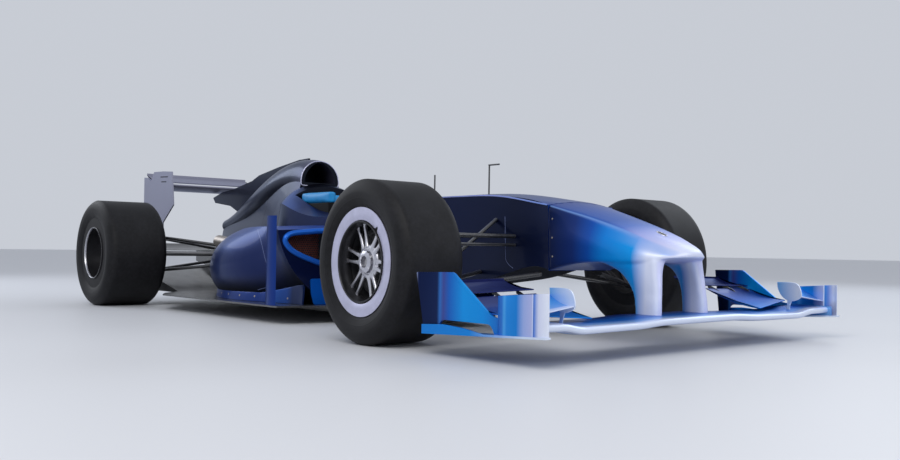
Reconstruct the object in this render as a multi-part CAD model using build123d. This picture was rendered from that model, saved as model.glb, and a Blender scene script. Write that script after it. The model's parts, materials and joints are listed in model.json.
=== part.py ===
from build123d import *
import math
import os

os.makedirs("parts", exist_ok=True)

# The car stands on the ground at z = 0. x runs forward, y to the left, z up.
# The origin is on the ground, halfway along the car. Lengths are millimetres.

# Overall layout
wheelbase = 3160
front_overhang = 1100
rear_overhang = 620
front_axle_x = (wheelbase + rear_overhang - front_overhang) / 2
rear_axle_x = front_axle_x - wheelbase
seat_gap = 0.3
overrun = 20

# Wheels and tyres
tyre_radius = 330
front_tyre_width = 293
rear_tyre_width = 350
front_outer_half = 919
rear_outer_half = 897
bead_radius = 163
tyre_step_radius = 219
tyre_step_depth = 17
tyre_shoulder = 34
sidewall_drop = 60
rim_radius = 162.7
rim_wall = 7
flange_thickness = 6
flange_inset = 12
front_disc_inset = 46
rear_disc_inset = 128
spoke_pairs = 6
spoke_root_radius = 62
spoke_root_width = 19
spoke_tip_width = 12
spoke_thickness = 16
spoke_root_spread_deg = 13
spoke_tip_spread_deg = 9
spoke_phase_deg = -10
hub_radius = 70
hub_length = 36
nut_radius = 46
nut_length = 16
nut_bore = 24
nut_bore_depth = 22
ring_inner_radius = 166
ring_outer_radius = 217
ring_thickness = 3

# Front uprights and steering
kingpin_inset = 219
kingpin_half = front_outer_half - kingpin_inset
axle_radius = 18
axle_bore_depth = 26
upright_length = 40
upright_width = 40
upright_low_z = 218
upright_high_z = 432
drum_radius = 142
drum_inner_half = kingpin_half + 38
drum_width = 86
steering_arm = 100
arm_width = 24
arm_thickness = 14
arm_top_z = 399
rod_end_radius = 14
rod_end_height = 17
tie_rod_radius = 7
tie_rod_rise = 9

# Front suspension arms: places are measured from the front axle
arm_radius = 9
fairing_chord = 50
fairing_thickness = 22
fairing_tail = 4
fairing_share = 0.24
boss_radius = 17
boss_height = 30
upper_front_leg_ahead = 85
upper_rear_leg_ahead = -205
upper_inner_z = 447
lower_front_leg_ahead = 250
lower_rear_leg_ahead = -165
lower_inner_z = 285
arm_inner_half = 175
push_rod_radius = 8
push_rod_inset = 60
push_rod_outer_half = kingpin_half - push_rod_inset
push_rod_outer_ahead = -30
push_rod_inner_z = 540

# Chassis tub
floor_top = 93
step_plane = 85
reference_plane = 35
plank_thickness = 10
tub_front_ahead = 320
tub_back_ahead = -2050
tub_half = 300
tub_height = 650
# way back, low half width, low height, shoulder half width, shoulder height, crown height
tub_shares = [
    (0.000, 0.633, 0.462, 0.667, 0.892, 0.923),
    (0.135, 0.633, 0.415, 0.683, 0.965, 0.989),
    (0.262, 0.617, 0.346, 0.700, 0.975, 1.003),
    (0.409, 0.700, 0.240, 0.767, 0.968, 1.003),
    (0.536, 0.860, 0.100, 0.883, 0.923, 0.992),
    (0.747, 1.000, 0.100, 0.983, 0.850, 0.930),
    (0.873, 1.080, 0.100, 1.000, 0.930, 1.070),
    (1.000, 1.080, 0.100, 0.600, 0.945, 1.120),
]

# Cockpit
cockpit_front_ahead = -930
cockpit_back_ahead = -1860
cockpit_half = 215
cockpit_front_half = 120
cockpit_corner = 130
cockpit_floor_z = 130
seat_half = 160
# way back through the cockpit, height of the seat
seat_shares = [(0.22, 0.0), (0.82, 0.0), (0.985, 1.0), (0.945, 1.0), (0.68, 0.18), (0.22, 0.24)]
seat_height = 335
headrest_arm = 380
headrest_thickness = 72
headrest_low_z = 475
headrest_high_z = 672

# Steering wheel
wheel_behind_front = 130
wheel_centre_z = 560
wheel_tilt_deg = 22
wheel_width = 268
wheel_height = 165
wheel_thickness = 28
wheel_corner = 48
grip_hole_width = 44
grip_hole_height = 84
grip_hole_offset = 80
column_radius = 16
column_bearing_depth = 60

# Nose cone and its pylons: way forward, low half, low height, edge half, edge height, centre height
nose_tip_ahead = 960
nose_half = 200
nose_height = 600
nose_shares = [
    (0.00, 0.950, 0.500, 1.000, 0.967, 1.000),
    (0.38, 0.985, 0.560, 1.000, 0.880, 0.893),
    (0.72, 0.985, 0.565, 1.000, 0.768, 0.750),
    (0.91, 0.985, 0.572, 0.990, 0.705, 0.660),
    (1.00, 0.965, 0.582, 0.970, 0.660, 0.618),
]
pylon_outer_half = 168
pylon_inner_half = 122
pylon_front_ahead = 922
pylon_back_ahead = 806
pylon_lean = 12
pylon_foot_share = 0.87
pylon_root_share = 0.600
# the arcs by which its rear, outer and inner edges flow into the nose: start height, middle, end
pylon_bend_z = 200
pylon_rear_bend = (752, 285)
pylon_rear_end = (640, 343)
pylon_outer_bend = (176, 300)
pylon_outer_end = 197
pylon_inner_bend = (109, 318)
pylon_inner_end = 70

# Front wing
wing_centre_top_z = 152
wing_span_half = 866
wing_front_ahead = 1020
wing_nose_radius = 13
wing_edge_thickness = 3
wing_upper_bow = 10
wing_lower_bow = 20
# span, leading edge ahead, chord, leading edge height, trailing edge height
plane_shares = [
    (0.000, 1.000, 0.265, 0.826, 0.900),
    (0.270, 1.000, 0.265, 0.826, 0.900),
    (0.420, 1.000, 0.250, 0.770, 0.860),
    (0.790, 1.010, 0.235, 0.760, 0.860),
    (0.850, 1.015, 0.235, 0.860, 0.930),
    (1.000, 1.025, 0.235, 0.880, 0.940),
]
flap_inner_half = 520
flap_sag = 12
flap_thickness = 6
# for each flap its inner and outer end: leading edge ahead and height, trailing edge ahead and height
flap_shares = [
    ((0.897, 0.96, 0.598, 1.46), (0.800, 1.10, 0.598, 1.40)),
    ((0.588, 1.56, 0.412, 1.76), (0.588, 1.50, 0.412, 1.71)),
]
endplate_thickness = 8
endplate_low_z = 70
endplate_high_z = 304
endplate_back_ahead = 380
endplate_front_ahead = 1060
endplate_crease_ahead = 500
endplate_flare = 25
endplate_flare_bow = 8
# way forward along the endplate, height
endplate_shares = [
    (0.056, 0.0), (1.0, 0.0), (1.0, 0.345), (0.70, 0.350), (0.600, 0.375), (0.275, 1.0), (0.0, 0.985),
]
# the arched slot over the footplate: way forward, height
endplate_slot_shares = [(0.130, 0.0), (0.175, 0.265), (0.590, 0.265), (0.650, 0.0)]
footplate_reach = 34
footplate_outer_half = wing_span_half + footplate_reach
footplate_width = 60
footplate_thickness = 7
footplate_back_ahead = 418
footplate_back_z = 78
footplate_tip_z = 103
footplate_taper_ahead = 950
footplate_tip_width = 26
# the lip along the footplate's outer edge: place ahead, height
footplate_lip = [(418, 112), (545, 119), (660, 113), (800, 96)]
lip_thickness = 7
# the fence's two lobes: place ahead of their ends and middles, and how far inside the footplate's edge
fence_lobes = [((830, 18), (920, 0), (1012, 13)), ((1012, 13), (1050, 2), (1082, 16))]
fence_thickness = 5
fence_back_high_z = 232
fence_front_high_z = 249
cascade_front_ahead = 1005
cascade_back_ahead = 884
cascade_inner_half = 700
cascade_sag = 12
cascade_thickness = 5
# leading and trailing edge heights at the inner and outer ends
cascade_inner_z = (198, 252)
cascade_outer_z = (172, 250)
# corners and middles of the arcs round the cascade's inner shield: place ahead, height
shield_points = [
    ((884, 258), (970, 258)), ((970, 258), (1002, 240), (1013, 200)), ((1013, 200), (994, 180), (960, 174)),
    ((960, 174), (906, 200), (884, 258)),
]
# the forked stalk under the shield: place ahead, height
stalk_points = [(942, 190), (974, 190), (956, 162), (950, 126), (932, 126), (940, 162)]

# Floor, plank and diffuser: way back, half width
floor_front_ahead = -450
floor_back_ahead = -2830
floor_half = 700
floor_core_half = 250
tray_half = 150
floor_outline_shares = [
    (0.065, 0.36), (0.075, 0.48), (0.225, 0.49), (0.270, 1.00), (0.870, 1.00), (0.935, 0.90),
    (1.000, 0.70),
]
core_front_share = 0.21
plank_half = 148
plank_front_ahead = -470
plank_back_ahead = -2790
diffuser_tyre_gap = 57
diffuser_half = rear_outer_half - rear_tyre_width - diffuser_tyre_gap
diffuser_length = 680
diffuser_rise = 140
diffuser_plate = 8
strake_thickness = 7
# places across the diffuser
strake_places_shares = (-1.0, -0.56, -0.2, 0.2, 0.56, 1.0)

# Bargeboards and sidepod vanes
board_front_ahead = -600
board_back_ahead = -1010
board_front_half = 262
board_back_half = 330
board_bow = 26
board_high_z = 250
board_thickness = 6
vane_front_ahead = -1130
vane_back_ahead = -1235
vane_half = 688
vane_bow = 10
vane_thickness = 8
vane_high_z = 540

# Sidepods: way back, low half width, middle half width and height, edge half width and height, inner height
pod_front_ahead = -1100
pod_back_ahead = -2760
pod_half = 670
pod_height = 500
pod_inner_half = 125
pod_shares = [
    (0.00, 0.56, 0.955, 0.62, 1.040, 0.935, 1.000),
    (0.27, 0.77, 1.000, 0.66, 0.895, 0.980, 1.030),
    (0.48, 0.77, 0.985, 0.60, 0.790, 0.940, 1.030),
    (0.66, 0.67, 0.836, 0.52, 0.640, 0.860, 1.000),
    (0.83, 0.49, 0.627, 0.44, 0.480, 0.740, 0.900),
    (1.00, 0.33, 0.433, 0.36, 0.330, 0.540, 0.660),
]
inlet_depth = 250
inlet_taper = 0.90
radiator_thickness = 32
# half width, height
inlet_shares = [
    (0.51, 0.570), (0.70, 0.610), (0.863, 0.690), (0.943, 0.750), (0.990, 0.838), (0.945, 0.905),
    (0.70, 0.936), (0.51, 0.940),
]

# Engine cover: way back, low half, low height, shoulder half, shoulder height, crown height
cover_front_ahead = -1965
cover_back_ahead = -3230
cover_half = 265
cover_height = 930
cover_shares = [
    (0.00, 0.98, 0.050, 0.47, 0.832, 0.980),
    (0.12, 1.00, 0.050, 0.46, 0.835, 0.995),
    (0.38, 0.98, 0.050, 0.38, 0.730, 0.925),
    (0.68, 0.72, 0.215, 0.26, 0.610, 0.760),
    (1.00, 0.18, 0.440, 0.12, 0.540, 0.610),
]
airbox_depth = 210
# the inlet lies between the chassis crown and the cover's crown: half width, way up
chassis_crown_share = 1.105
airbox_base_shares = (0.385, 0.30)
airbox_side_shares = (0.290, 0.68)
airbox_top_shares = (0.085, 0.92)
airbox_peak_share = 0.935
fin_thickness = 12
fin_back_ahead = -3469
# way back, height
fin_shares = [
    (0.090, 1.006), (0.169, 1.002), (0.342, 0.969), (0.528, 0.924), (0.595, 0.888), (0.774, 0.841),
    (0.900, 0.822), (1.000, 0.784), (0.976, 0.744), (0.813, 0.715), (0.718, 0.659), (0.550, 0.600),
    (0.130, 0.700),
]

# Engine, gearbox, crash structure, lamp and exhausts
engine_back_ahead = -2600
engine_half = 150
engine_height = 325
gearbox_back_ahead = -3420
gearbox_front_half = 130
gearbox_back_half = 62
gearbox_front_low_z = 120
gearbox_front_high_z = 420
gearbox_back_low_z = 245
gearbox_back_high_z = 375
output_flange_radius = 44
output_flange_half = 112
crash_back_ahead = -3650
crash_back_half = 45
crash_back_low_z = 275
lamp_width = 64
lamp_height = 84
lamp_thickness = 22
exhaust_half = 250
exhaust_front_ahead = -2500
exhaust_back_ahead = -2790
exhaust_front_z = 385
exhaust_back_z = 415
exhaust_radius = 40
exhaust_wall = 3

# Rear wing
rear_plate_half = 366
rear_plate_thickness = 8
rear_plate_front_ahead = -3256
rear_plate_low_z = 330
rear_plate_high_z = 896
# way back, height
rear_plate_shares = [
    (0.063, 0.980), (0.000, 0.578), (0.336, 0.371), (0.336, 0.000), (0.680, 0.000), (0.700, 0.430),
    (1.000, 0.560), (1.000, 0.945), (0.905, 0.940), (0.760, 0.890), (0.660, 1.000), (0.350, 0.995),
]
main_front_ahead = -3322
main_front_z = 796
main_back_ahead = -3588
main_back_z = 812
main_sag = 34
main_thickness = 20
top_front_ahead = -3572
top_front_z = 832
top_back_ahead = -3752
top_back_z = 880
top_sag = 16
top_thickness = 9
beam_front_ahead = -3370
beam_front_z = 352
beam_back_ahead = -3560
beam_back_z = 398
beam_sag = 22
beam_thickness = 12
# the slots near the endplate's top: place ahead of each slot's front, then their size
louvre_ahead = (-3330, -3352, -3374)
louvre_width = 10
louvre_low_z = 838
louvre_high_z = 878

# Rear suspension
rear_upright_inset = 287
rear_upright_half = rear_outer_half - rear_upright_inset
rear_upright_width = 50
rear_upright_length = 60
rear_upright_low_z = 222
rear_upright_high_z = 438
rear_drum_width = 56
shaft_radius = 16
shaft_clearance = 6
rear_arm_inner_half = 60
rear_upper_front_ahead = -2700
rear_upper_back_ahead = -3230
rear_upper_inner_z = 360
rear_lower_front_ahead = -2700
rear_lower_back_ahead = -3260
rear_lower_inner_z = 285

# Aerials
pitot_ahead = -330
pitot_high_z = 800
pitot_length = 75
aerial_ahead = -780
aerial_high_z = 772
aerial_radius = 4


def ahead(distance):
    # place along the car, measured forward from the front axle
    return front_axle_x + distance


def between(first, last, share):
    return first + share * (last - first)


def side_profile(points, inner, thickness):
    # plate whose outline is given as (x, z), from y = inner towards the left
    outline = make_face(Polyline(*[(x, inner, z) for x, z in points], close=True))
    return extrude(outline, amount=thickness, dir=(0, 1, 0))


def plan_profile(points, low, height):
    outline = make_face(Polyline(*[(x, y, low) for x, y in points], close=True))
    return extrude(outline, amount=height, dir=(0, 0, 1))


def front_profile(points, front, depth):
    # solid whose outline is given as (y, z), from x = front towards the rear
    outline = make_face(Polyline(*[(front, y, z) for y, z in points], close=True))
    return extrude(outline, amount=depth, dir=(-1, 0, 0))


def rod(start, end, radius):
    start, end = Vector(*start), Vector(*end)
    frame = Plane(origin=start, z_dir=end - start)
    return extrude(frame * Circle(radius), amount=(end - start).length)


def faired_rod(start, end, radius):
    # round at the outer end, then inside a fairing with a round nose and flats to a thin tail
    start, end = Vector(*start), Vector(*end)
    along = (end - start).normalized()
    chord_dir = (Vector(1, 0, 0) - along * along.X).normalized()
    begin = start + (end - start) * fairing_share
    half, tail = fairing_thickness / 2, fairing_tail / 2
    front, back = fairing_chord / 2, -fairing_chord / 2
    section = make_face([
        ThreePointArc((front - half, half), (front, 0), (front - half, -half)),
        Line((front - half, -half), (back, -tail)),
        Line((back, -tail), (back, tail)),
        Line((back, tail), (front - half, half)),
    ])
    frame = Plane(origin=begin, x_dir=chord_dir, z_dir=along)
    fairing = extrude(frame * section, amount=(end - begin).length)
    return rod(tuple(start), tuple(begin + along * radius), radius) + fairing


def mirrored(piece):
    return mirror(piece, about=Plane.XZ)


def both(piece):
    return Compound(children=[piece, mirrored(piece)])


def body_section(x, low_half, low_z, edge_half, edge_z, crown_z):
    # four edges: flat bottom, two straight flanks, and a top arc through the crown
    low_left, low_right = (x, low_half, low_z), (x, -low_half, low_z)
    edge_left, edge_right = (x, edge_half, edge_z), (x, -edge_half, edge_z)
    return make_face([
        Line(low_right, low_left),
        Line(low_left, edge_left),
        ThreePointArc(edge_left, (x, 0, crown_z), edge_right),
        Line(edge_right, low_right),
    ])


def body_loft(shares, front, back, half, height):
    return loft([
        body_section(between(front, back, way), half * low, height * low_z, half * edge, height * edge_z,
                     height * crown)
        for way, low, low_z, edge, edge_z, crown in shares
    ])


def blade_section(y, front, back, sag, thickness):
    # lens of two arcs between the leading and trailing edges, bowed downwards
    middle = (front[0] + back[0]) / 2, (front[1] + back[1]) / 2
    return make_face([
        ThreePointArc((front[0], y, front[1]), (middle[0], y, middle[1] - sag), (back[0], y, back[1])),
        ThreePointArc((back[0], y, back[1]), (middle[0], y, middle[1] - sag + thickness),
                      (front[0], y, front[1])),
    ])


def blade(front, back, sag, thickness, inner, span):
    return extrude(blade_section(inner, front, back, sag, thickness), amount=span, dir=(0, 1, 0))


def make_tub():
    tub = body_loft(tub_shares, ahead(tub_front_ahead), ahead(tub_back_ahead), tub_half, tub_height)
    return tub


def make_cockpit():
    front, back = ahead(cockpit_front_ahead), ahead(cockpit_back_ahead)
    corner = front - cockpit_corner
    points = [
        (front, cockpit_front_half), (front, -cockpit_front_half), (corner, -cockpit_half),
        (back, -cockpit_half), (back, cockpit_half), (corner, cockpit_half),
    ]
    return plan_profile(points, cockpit_floor_z, tub_height)


def make_rack_bore():
    x, z = ahead(steering_arm), arm_top_z + tie_rod_rise
    return rod((x, -tub_half, z), (x, tub_half, z), tie_rod_radius + seat_gap)


def make_seat():
    front, back = ahead(cockpit_front_ahead), ahead(cockpit_back_ahead)
    low = cockpit_floor_z + seat_gap
    points = [(between(front, back, way), low + seat_height * rise) for way, rise in seat_shares]
    return side_profile(points, -seat_half, 2 * seat_half)


def make_headrest():
    back = ahead(cockpit_back_ahead) + seat_gap
    outer = cockpit_half - seat_gap
    inner = outer - headrest_thickness
    front = back + headrest_arm
    points = [
        (back, -outer), (front, -outer), (front, -inner), (back + headrest_thickness, -inner),
        (back + headrest_thickness, inner), (front, inner), (front, outer), (back, outer),
    ]
    return plan_profile(points, headrest_low_z, headrest_high_z - headrest_low_z)


def make_nose():
    nose = body_loft(nose_shares, ahead(tub_front_ahead), ahead(nose_tip_ahead), nose_half, nose_height)
    pylon = make_pylon()
    return nose + pylon + mirrored(pylon)


def make_pylon():
    # common part of a side outline and a front outline, both arched where they flow into the nose
    front, back = ahead(pylon_front_ahead), ahead(pylon_back_ahead)
    foot, roof = wing_centre_top_z * pylon_foot_share, nose_height * pylon_root_share
    (bend_ahead, bend_z), (end_ahead, end_z) = pylon_rear_bend, pylon_rear_end
    side = make_face([
        Line((back, 0, foot), (front, 0, foot)),
        Line((front, 0, foot), (front + pylon_lean, 0, roof)),
        Line((front + pylon_lean, 0, roof), (ahead(end_ahead), 0, roof)),
        Line((ahead(end_ahead), 0, roof), (ahead(end_ahead), 0, end_z)),
        ThreePointArc((ahead(end_ahead), 0, end_z), (ahead(bend_ahead), 0, bend_z), (back, 0, pylon_bend_z)),
        Line((back, 0, pylon_bend_z), (back, 0, foot)),
    ])
    (outer_y, outer_z), (inner_y, inner_z) = pylon_outer_bend, pylon_inner_bend
    x = front + overrun
    across = make_face([
        Line((x, pylon_inner_half, foot), (x, pylon_outer_half, foot)),
        Line((x, pylon_outer_half, foot), (x, pylon_outer_half, pylon_bend_z)),
        ThreePointArc((x, pylon_outer_half, pylon_bend_z), (x, outer_y, outer_z), (x, pylon_outer_end, roof)),
        Line((x, pylon_outer_end, roof), (x, pylon_inner_end, roof)),
        ThreePointArc((x, pylon_inner_end, roof), (x, inner_y, inner_z), (x, pylon_inner_half, pylon_bend_z)),
        Line((x, pylon_inner_half, pylon_bend_z), (x, pylon_inner_half, foot)),
    ])
    depth = pylon_front_ahead - end_ahead + 2 * overrun
    return extrude(side, amount=nose_half, dir=(0, 1, 0)) & extrude(across, amount=depth, dir=(-1, 0, 0))


def wing_section(y, front, chord, front_z, back_z):
    # blunt nose arc, then an upper and a lower arc to a thin trailing edge
    back, shoulder, edge = front - chord, front - wing_nose_radius, wing_edge_thickness / 2
    top, bottom = front_z + wing_nose_radius, front_z - wing_nose_radius
    middle, middle_z = (front + back) / 2, (front_z + back_z) / 2
    return make_face([
        ThreePointArc((shoulder, y, bottom), (front, y, front_z), (shoulder, y, top)),
        ThreePointArc((shoulder, y, top), (middle, y, middle_z + wing_upper_bow), (back, y, back_z + edge)),
        Line((back, y, back_z + edge), (back, y, back_z - edge)),
        ThreePointArc((back, y, back_z - edge), (middle, y, middle_z - wing_lower_bow),
                      (shoulder, y, bottom)),
    ])


def make_front_plane():
    sections = [
        wing_section(wing_span_half * span, ahead(wing_front_ahead * lead), wing_front_ahead * chord,
                     wing_centre_top_z * lead_z, wing_centre_top_z * trail_z)
        for span, lead, chord, lead_z, trail_z in plane_shares
    ]
    half = loft(sections, ruled=True)
    return half + mirrored(half)


def make_front_flaps():
    flaps = []
    for ends in flap_shares:
        sections = [
            blade_section(y, (ahead(wing_front_ahead * lead), wing_centre_top_z * lead_z),
                          (ahead(wing_front_ahead * trail), wing_centre_top_z * trail_z),
                          flap_sag, flap_thickness)
            for y, (lead, lead_z, trail, trail_z) in zip((flap_inner_half, wing_span_half), ends)
        ]
        flap = loft(sections, ruled=True)
        flaps += [flap, mirrored(flap)]
    return Compound(children=flaps)


def footplate_top(place):
    # height of the sloping footplate's upper face at a place ahead of the front axle
    share = (place - footplate_back_ahead) / (front_overhang - footplate_back_ahead)
    return between(footplate_back_z, footplate_tip_z, share) + footplate_thickness


def make_footplate():
    back, tip = ahead(footplate_back_ahead), ahead(front_overhang)
    outer, inner = footplate_outer_half, footplate_outer_half - footplate_width
    back_z, tip_z = footplate_top(footplate_back_ahead), footplate_top(front_overhang)
    plate = side_profile(
        [(back, back_z - footplate_thickness), (tip, tip_z - footplate_thickness), (tip, tip_z),
         (back, back_z)],
        inner, footplate_width,
    )
    plate &= plan_profile(
        [(back, inner), (ahead(footplate_taper_ahead), inner), (tip, outer - footplate_tip_width),
         (tip, outer), (back, outer)],
        0, endplate_high_z,
    )
    edge = [(ahead(place), footplate_top(place) - seat_gap) for place, z in reversed(footplate_lip)]
    lip = side_profile([(ahead(place), z) for place, z in footplate_lip] + edge, outer - lip_thickness,
                       lip_thickness)
    return plate + lip


def make_front_endplate():
    # a sheet whose rear third flares outwards, trimmed to its outline, on a footplate with a lip
    back, front = ahead(endplate_back_ahead), ahead(endplate_front_ahead)
    crease = ahead(endplate_crease_ahead)
    inner, outer, middle = wing_span_half, wing_span_half + endplate_thickness, (back + crease) / 2
    sheet = extrude(make_face([
        Line((front, outer, 0), (crease, outer, 0)),
        ThreePointArc((crease, outer, 0), (middle, outer + endplate_flare_bow, 0),
                      (back, outer + endplate_flare, 0)),
        Line((back, outer + endplate_flare, 0), (back, inner + endplate_flare, 0)),
        ThreePointArc((back, inner + endplate_flare, 0), (middle, inner + endplate_flare_bow, 0),
                      (crease, inner, 0)),
        Line((crease, inner, 0), (front, inner, 0)),
        Line((front, inner, 0), (front, outer, 0)),
    ]), amount=endplate_high_z, dir=(0, 0, 1))
    outline, slot = (
        [(between(back, front, way), between(endplate_low_z, endplate_high_z, rise)) for way, rise in shares]
        for shares in (endplate_shares, endplate_slot_shares)
    )
    sheet &= side_profile(outline, inner, footplate_width)
    sheet -= side_profile(slot, inner - overrun, footplate_width)
    below = [
        (back, 0), (ahead(front_overhang), 0), (ahead(front_overhang), footplate_top(front_overhang)),
        (back, footplate_top(endplate_back_ahead)),
    ]
    return sheet - side_profile(below, inner - overrun, footplate_width) + make_footplate()


def fence_edge(inset):
    return [
        ThreePointArc(*[(ahead(place), footplate_outer_half - inside - inset, 0) for place, inside in lobe])
        for lobe in fence_lobes
    ]


def make_fence():
    # a two-lobed sheet that stands on the footplate
    outer, inner = fence_edge(0), fence_edge(fence_thickness)
    ends = [Line(outer[0] @ 0, inner[0] @ 0), Line(outer[-1] @ 1, inner[-1] @ 1)]
    sheet = extrude(make_face(outer + inner + ends), amount=endplate_high_z, dir=(0, 0, 1))
    back, front = fence_lobes[0][0][0], fence_lobes[-1][-1][0]
    outline = [
        (ahead(back), footplate_top(back)), (ahead(front), footplate_top(front)),
        (ahead(front), fence_front_high_z), (ahead(back), fence_back_high_z),
    ]
    return sheet & side_profile(outline, cascade_inner_half, footplate_outer_half - cascade_inner_half)


def make_cascade(plane):
    front, back = ahead(cascade_front_ahead), ahead(cascade_back_ahead)
    sections = [
        blade_section(y, (front, low), (back, high), cascade_sag, cascade_thickness)
        for y, (low, high) in (
            (cascade_inner_half, cascade_inner_z), (footplate_outer_half, cascade_outer_z),
        )
    ]
    edges = []
    for points in shield_points:
        curve = ThreePointArc if len(points) > 2 else Line
        edges.append(curve(*[(ahead(place), cascade_inner_half, z) for place, z in points]))
    shield = extrude(make_face(edges), amount=-cascade_thickness, dir=(0, 1, 0))
    stalk = side_profile([(ahead(place), z) for place, z in stalk_points],
                         cascade_inner_half - cascade_thickness, cascade_thickness)
    inner = fence_edge(fence_thickness)
    start, end = inner[0] @ 0, inner[-1] @ 1
    reach = footplate_outer_half + overrun
    outside = extrude(make_face(inner + [
        Line(end, (end.X, reach, 0)), Line((end.X, reach, 0), (start.X, reach, 0)),
        Line((start.X, reach, 0), start),
    ]), amount=endplate_high_z, dir=(0, 0, 1))
    return loft(sections, ruled=True) + shield + stalk - plane - outside


def make_floor():
    front, back = ahead(floor_front_ahead), ahead(floor_back_ahead)
    right = [(between(front, back, way), -floor_half * half) for way, half in floor_outline_shares]
    left = [(x, -y) for x, y in reversed(right)]
    plate = plan_profile(right + left, step_plane, floor_top - step_plane)
    core_front = between(front, back, core_front_share)
    core = plan_profile(
        [(front, -tray_half), (core_front, -tray_half), (core_front, -floor_core_half),
         (back, -floor_core_half), (back, floor_core_half), (core_front, floor_core_half),
         (core_front, tray_half), (front, tray_half)],
        reference_plane, floor_top - reference_plane,
    )
    return plate + core


def make_room_below():
    # everything under the floor's upper face, which no body panel may reach
    front, back = ahead(floor_front_ahead), rear_axle_x - rear_overhang
    points = [(front, -floor_half), (back, -floor_half), (back, floor_half), (front, floor_half)]
    return plan_profile(points, -floor_top, 2 * floor_top)


def make_plank():
    front, back = ahead(plank_front_ahead), ahead(plank_back_ahead)
    points = [(front, -plank_half), (back, -plank_half), (back, plank_half), (front, plank_half)]
    return plan_profile(points, reference_plane - plank_thickness, plank_thickness)


def make_diffuser():
    front = ahead(floor_back_ahead)
    back = front - diffuser_length
    roof = [
        (front, step_plane), (back, step_plane + diffuser_rise),
        (back, step_plane + diffuser_rise + diffuser_plate), (front, floor_top),
    ]
    diffuser = side_profile(roof, -diffuser_half, 2 * diffuser_half)
    wall = [(front, step_plane), (back, step_plane), (back, step_plane + diffuser_rise)]
    reach = diffuser_half - strake_thickness / 2
    for place in strake_places_shares:
        diffuser += side_profile(wall, reach * place - strake_thickness / 2, strake_thickness)
    return diffuser


def make_bargeboard():
    front, back = ahead(board_front_ahead), ahead(board_back_ahead)
    middle, half = (front + back) / 2, (board_front_half + board_back_half) / 2 + board_bow
    path = ThreePointArc((front, board_front_half, floor_top), (middle, half, floor_top),
                         (back, board_back_half, floor_top))
    inner = ThreePointArc((back, board_back_half - board_thickness, floor_top),
                          (middle, half - board_thickness, floor_top),
                          (front, board_front_half - board_thickness, floor_top))
    outline = make_face([path, Line(path @ 1, inner @ 0), inner, Line(inner @ 1, path @ 0)])
    return extrude(outline, amount=board_high_z - floor_top, dir=(0, 0, 1))


def make_vane():
    front, back = ahead(vane_front_ahead), ahead(vane_back_ahead)
    middle = (front + back) / 2
    outline = make_face([
        ThreePointArc((front, vane_half, floor_top), (middle, vane_half + vane_bow, floor_top),
                      (back, vane_half, floor_top)),
        ThreePointArc((back, vane_half, floor_top),
                      (middle, vane_half + vane_bow - vane_thickness, floor_top),
                      (front, vane_half, floor_top)),
    ])
    return extrude(outline, amount=vane_high_z - floor_top, dir=(0, 0, 1))


def make_pod_shell():
    front, back = ahead(pod_front_ahead), ahead(pod_back_ahead)
    sections = []
    for way, low, middle, middle_z, edge, edge_z, inner_z in pod_shares:
        x = between(front, back, way)
        corner, top = (x, pod_half * low, floor_top), (x, pod_inner_half, pod_height * inner_z)
        edge_point = (x, pod_half * edge, pod_height * edge_z)
        sections.append(make_face([
            Line((x, pod_inner_half, floor_top), corner),
            ThreePointArc(corner, (x, pod_half * middle, pod_height * middle_z), edge_point),
            Line(edge_point, top),
            Line(top, (x, pod_inner_half, floor_top)),
        ]))
    return loft(sections)


def inlet_points():
    return [(pod_half * half, pod_height * height) for half, height in inlet_shares]


def inlet_section(x, size):
    # the inlet's outline, drawn in by the given share towards its inner top corner
    return make_face(Polyline(*[
        (x, between(inlet_points()[-1][0], y, size), between(inlet_points()[-1][1], z, size))
        for y, z in inlet_points()
    ], close=True))


def make_inlet():
    front = ahead(pod_front_ahead)
    mouth = front_profile(inlet_points(), front + overrun, overrun)
    return mouth + loft([inlet_section(front, 1), inlet_section(front - inlet_depth, inlet_taper)])


def make_radiator():
    back = inlet_section(ahead(pod_front_ahead) - inlet_depth, inlet_taper)
    return extrude(back, amount=radiator_thickness, dir=(1, 0, 0)) & make_inlet()


def make_cover_shell():
    shell = body_loft(cover_shares, ahead(cover_front_ahead), ahead(cover_back_ahead), cover_half,
                      cover_height)
    front, back = ahead(cover_front_ahead), ahead(fin_back_ahead)
    points = [(between(front, back, way), cover_height * height) for way, height in fin_shares]
    return shell + side_profile(points, -fin_thickness / 2, fin_thickness)


def make_airbox_duct():
    # an upright inlet with bowed sides, between the chassis crown and the cover's crown
    low, high = tub_height * chassis_crown_share, cover_height * cover_shares[0][-1]
    x = ahead(cover_front_ahead) + overrun

    left, right = (
        [(x, side * cover_half * half, between(low, high, way))
         for half, way in (airbox_base_shares, airbox_side_shares, airbox_top_shares)]
        for side in (1, -1)
    )
    peak = (x, 0, between(low, high, airbox_peak_share))
    outline = make_face([
        Line(right[0], left[0]), ThreePointArc(*left), ThreePointArc(left[-1], peak, right[-1]),
        ThreePointArc(*reversed(right)),
    ])
    return extrude(outline, amount=airbox_depth + overrun, dir=(-1, 0, 0))


def make_engine():
    front, back = ahead(tub_back_ahead), ahead(engine_back_ahead)
    points = [(front, -engine_half), (back, -engine_half), (back, engine_half), (front, engine_half)]
    return plan_profile(points, floor_top, engine_height)


def box_section(x, half, low, high):
    corners = [(x, -half, low), (x, half, low), (x, half, high), (x, -half, high)]
    return make_face(Polyline(*corners, close=True))


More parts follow.
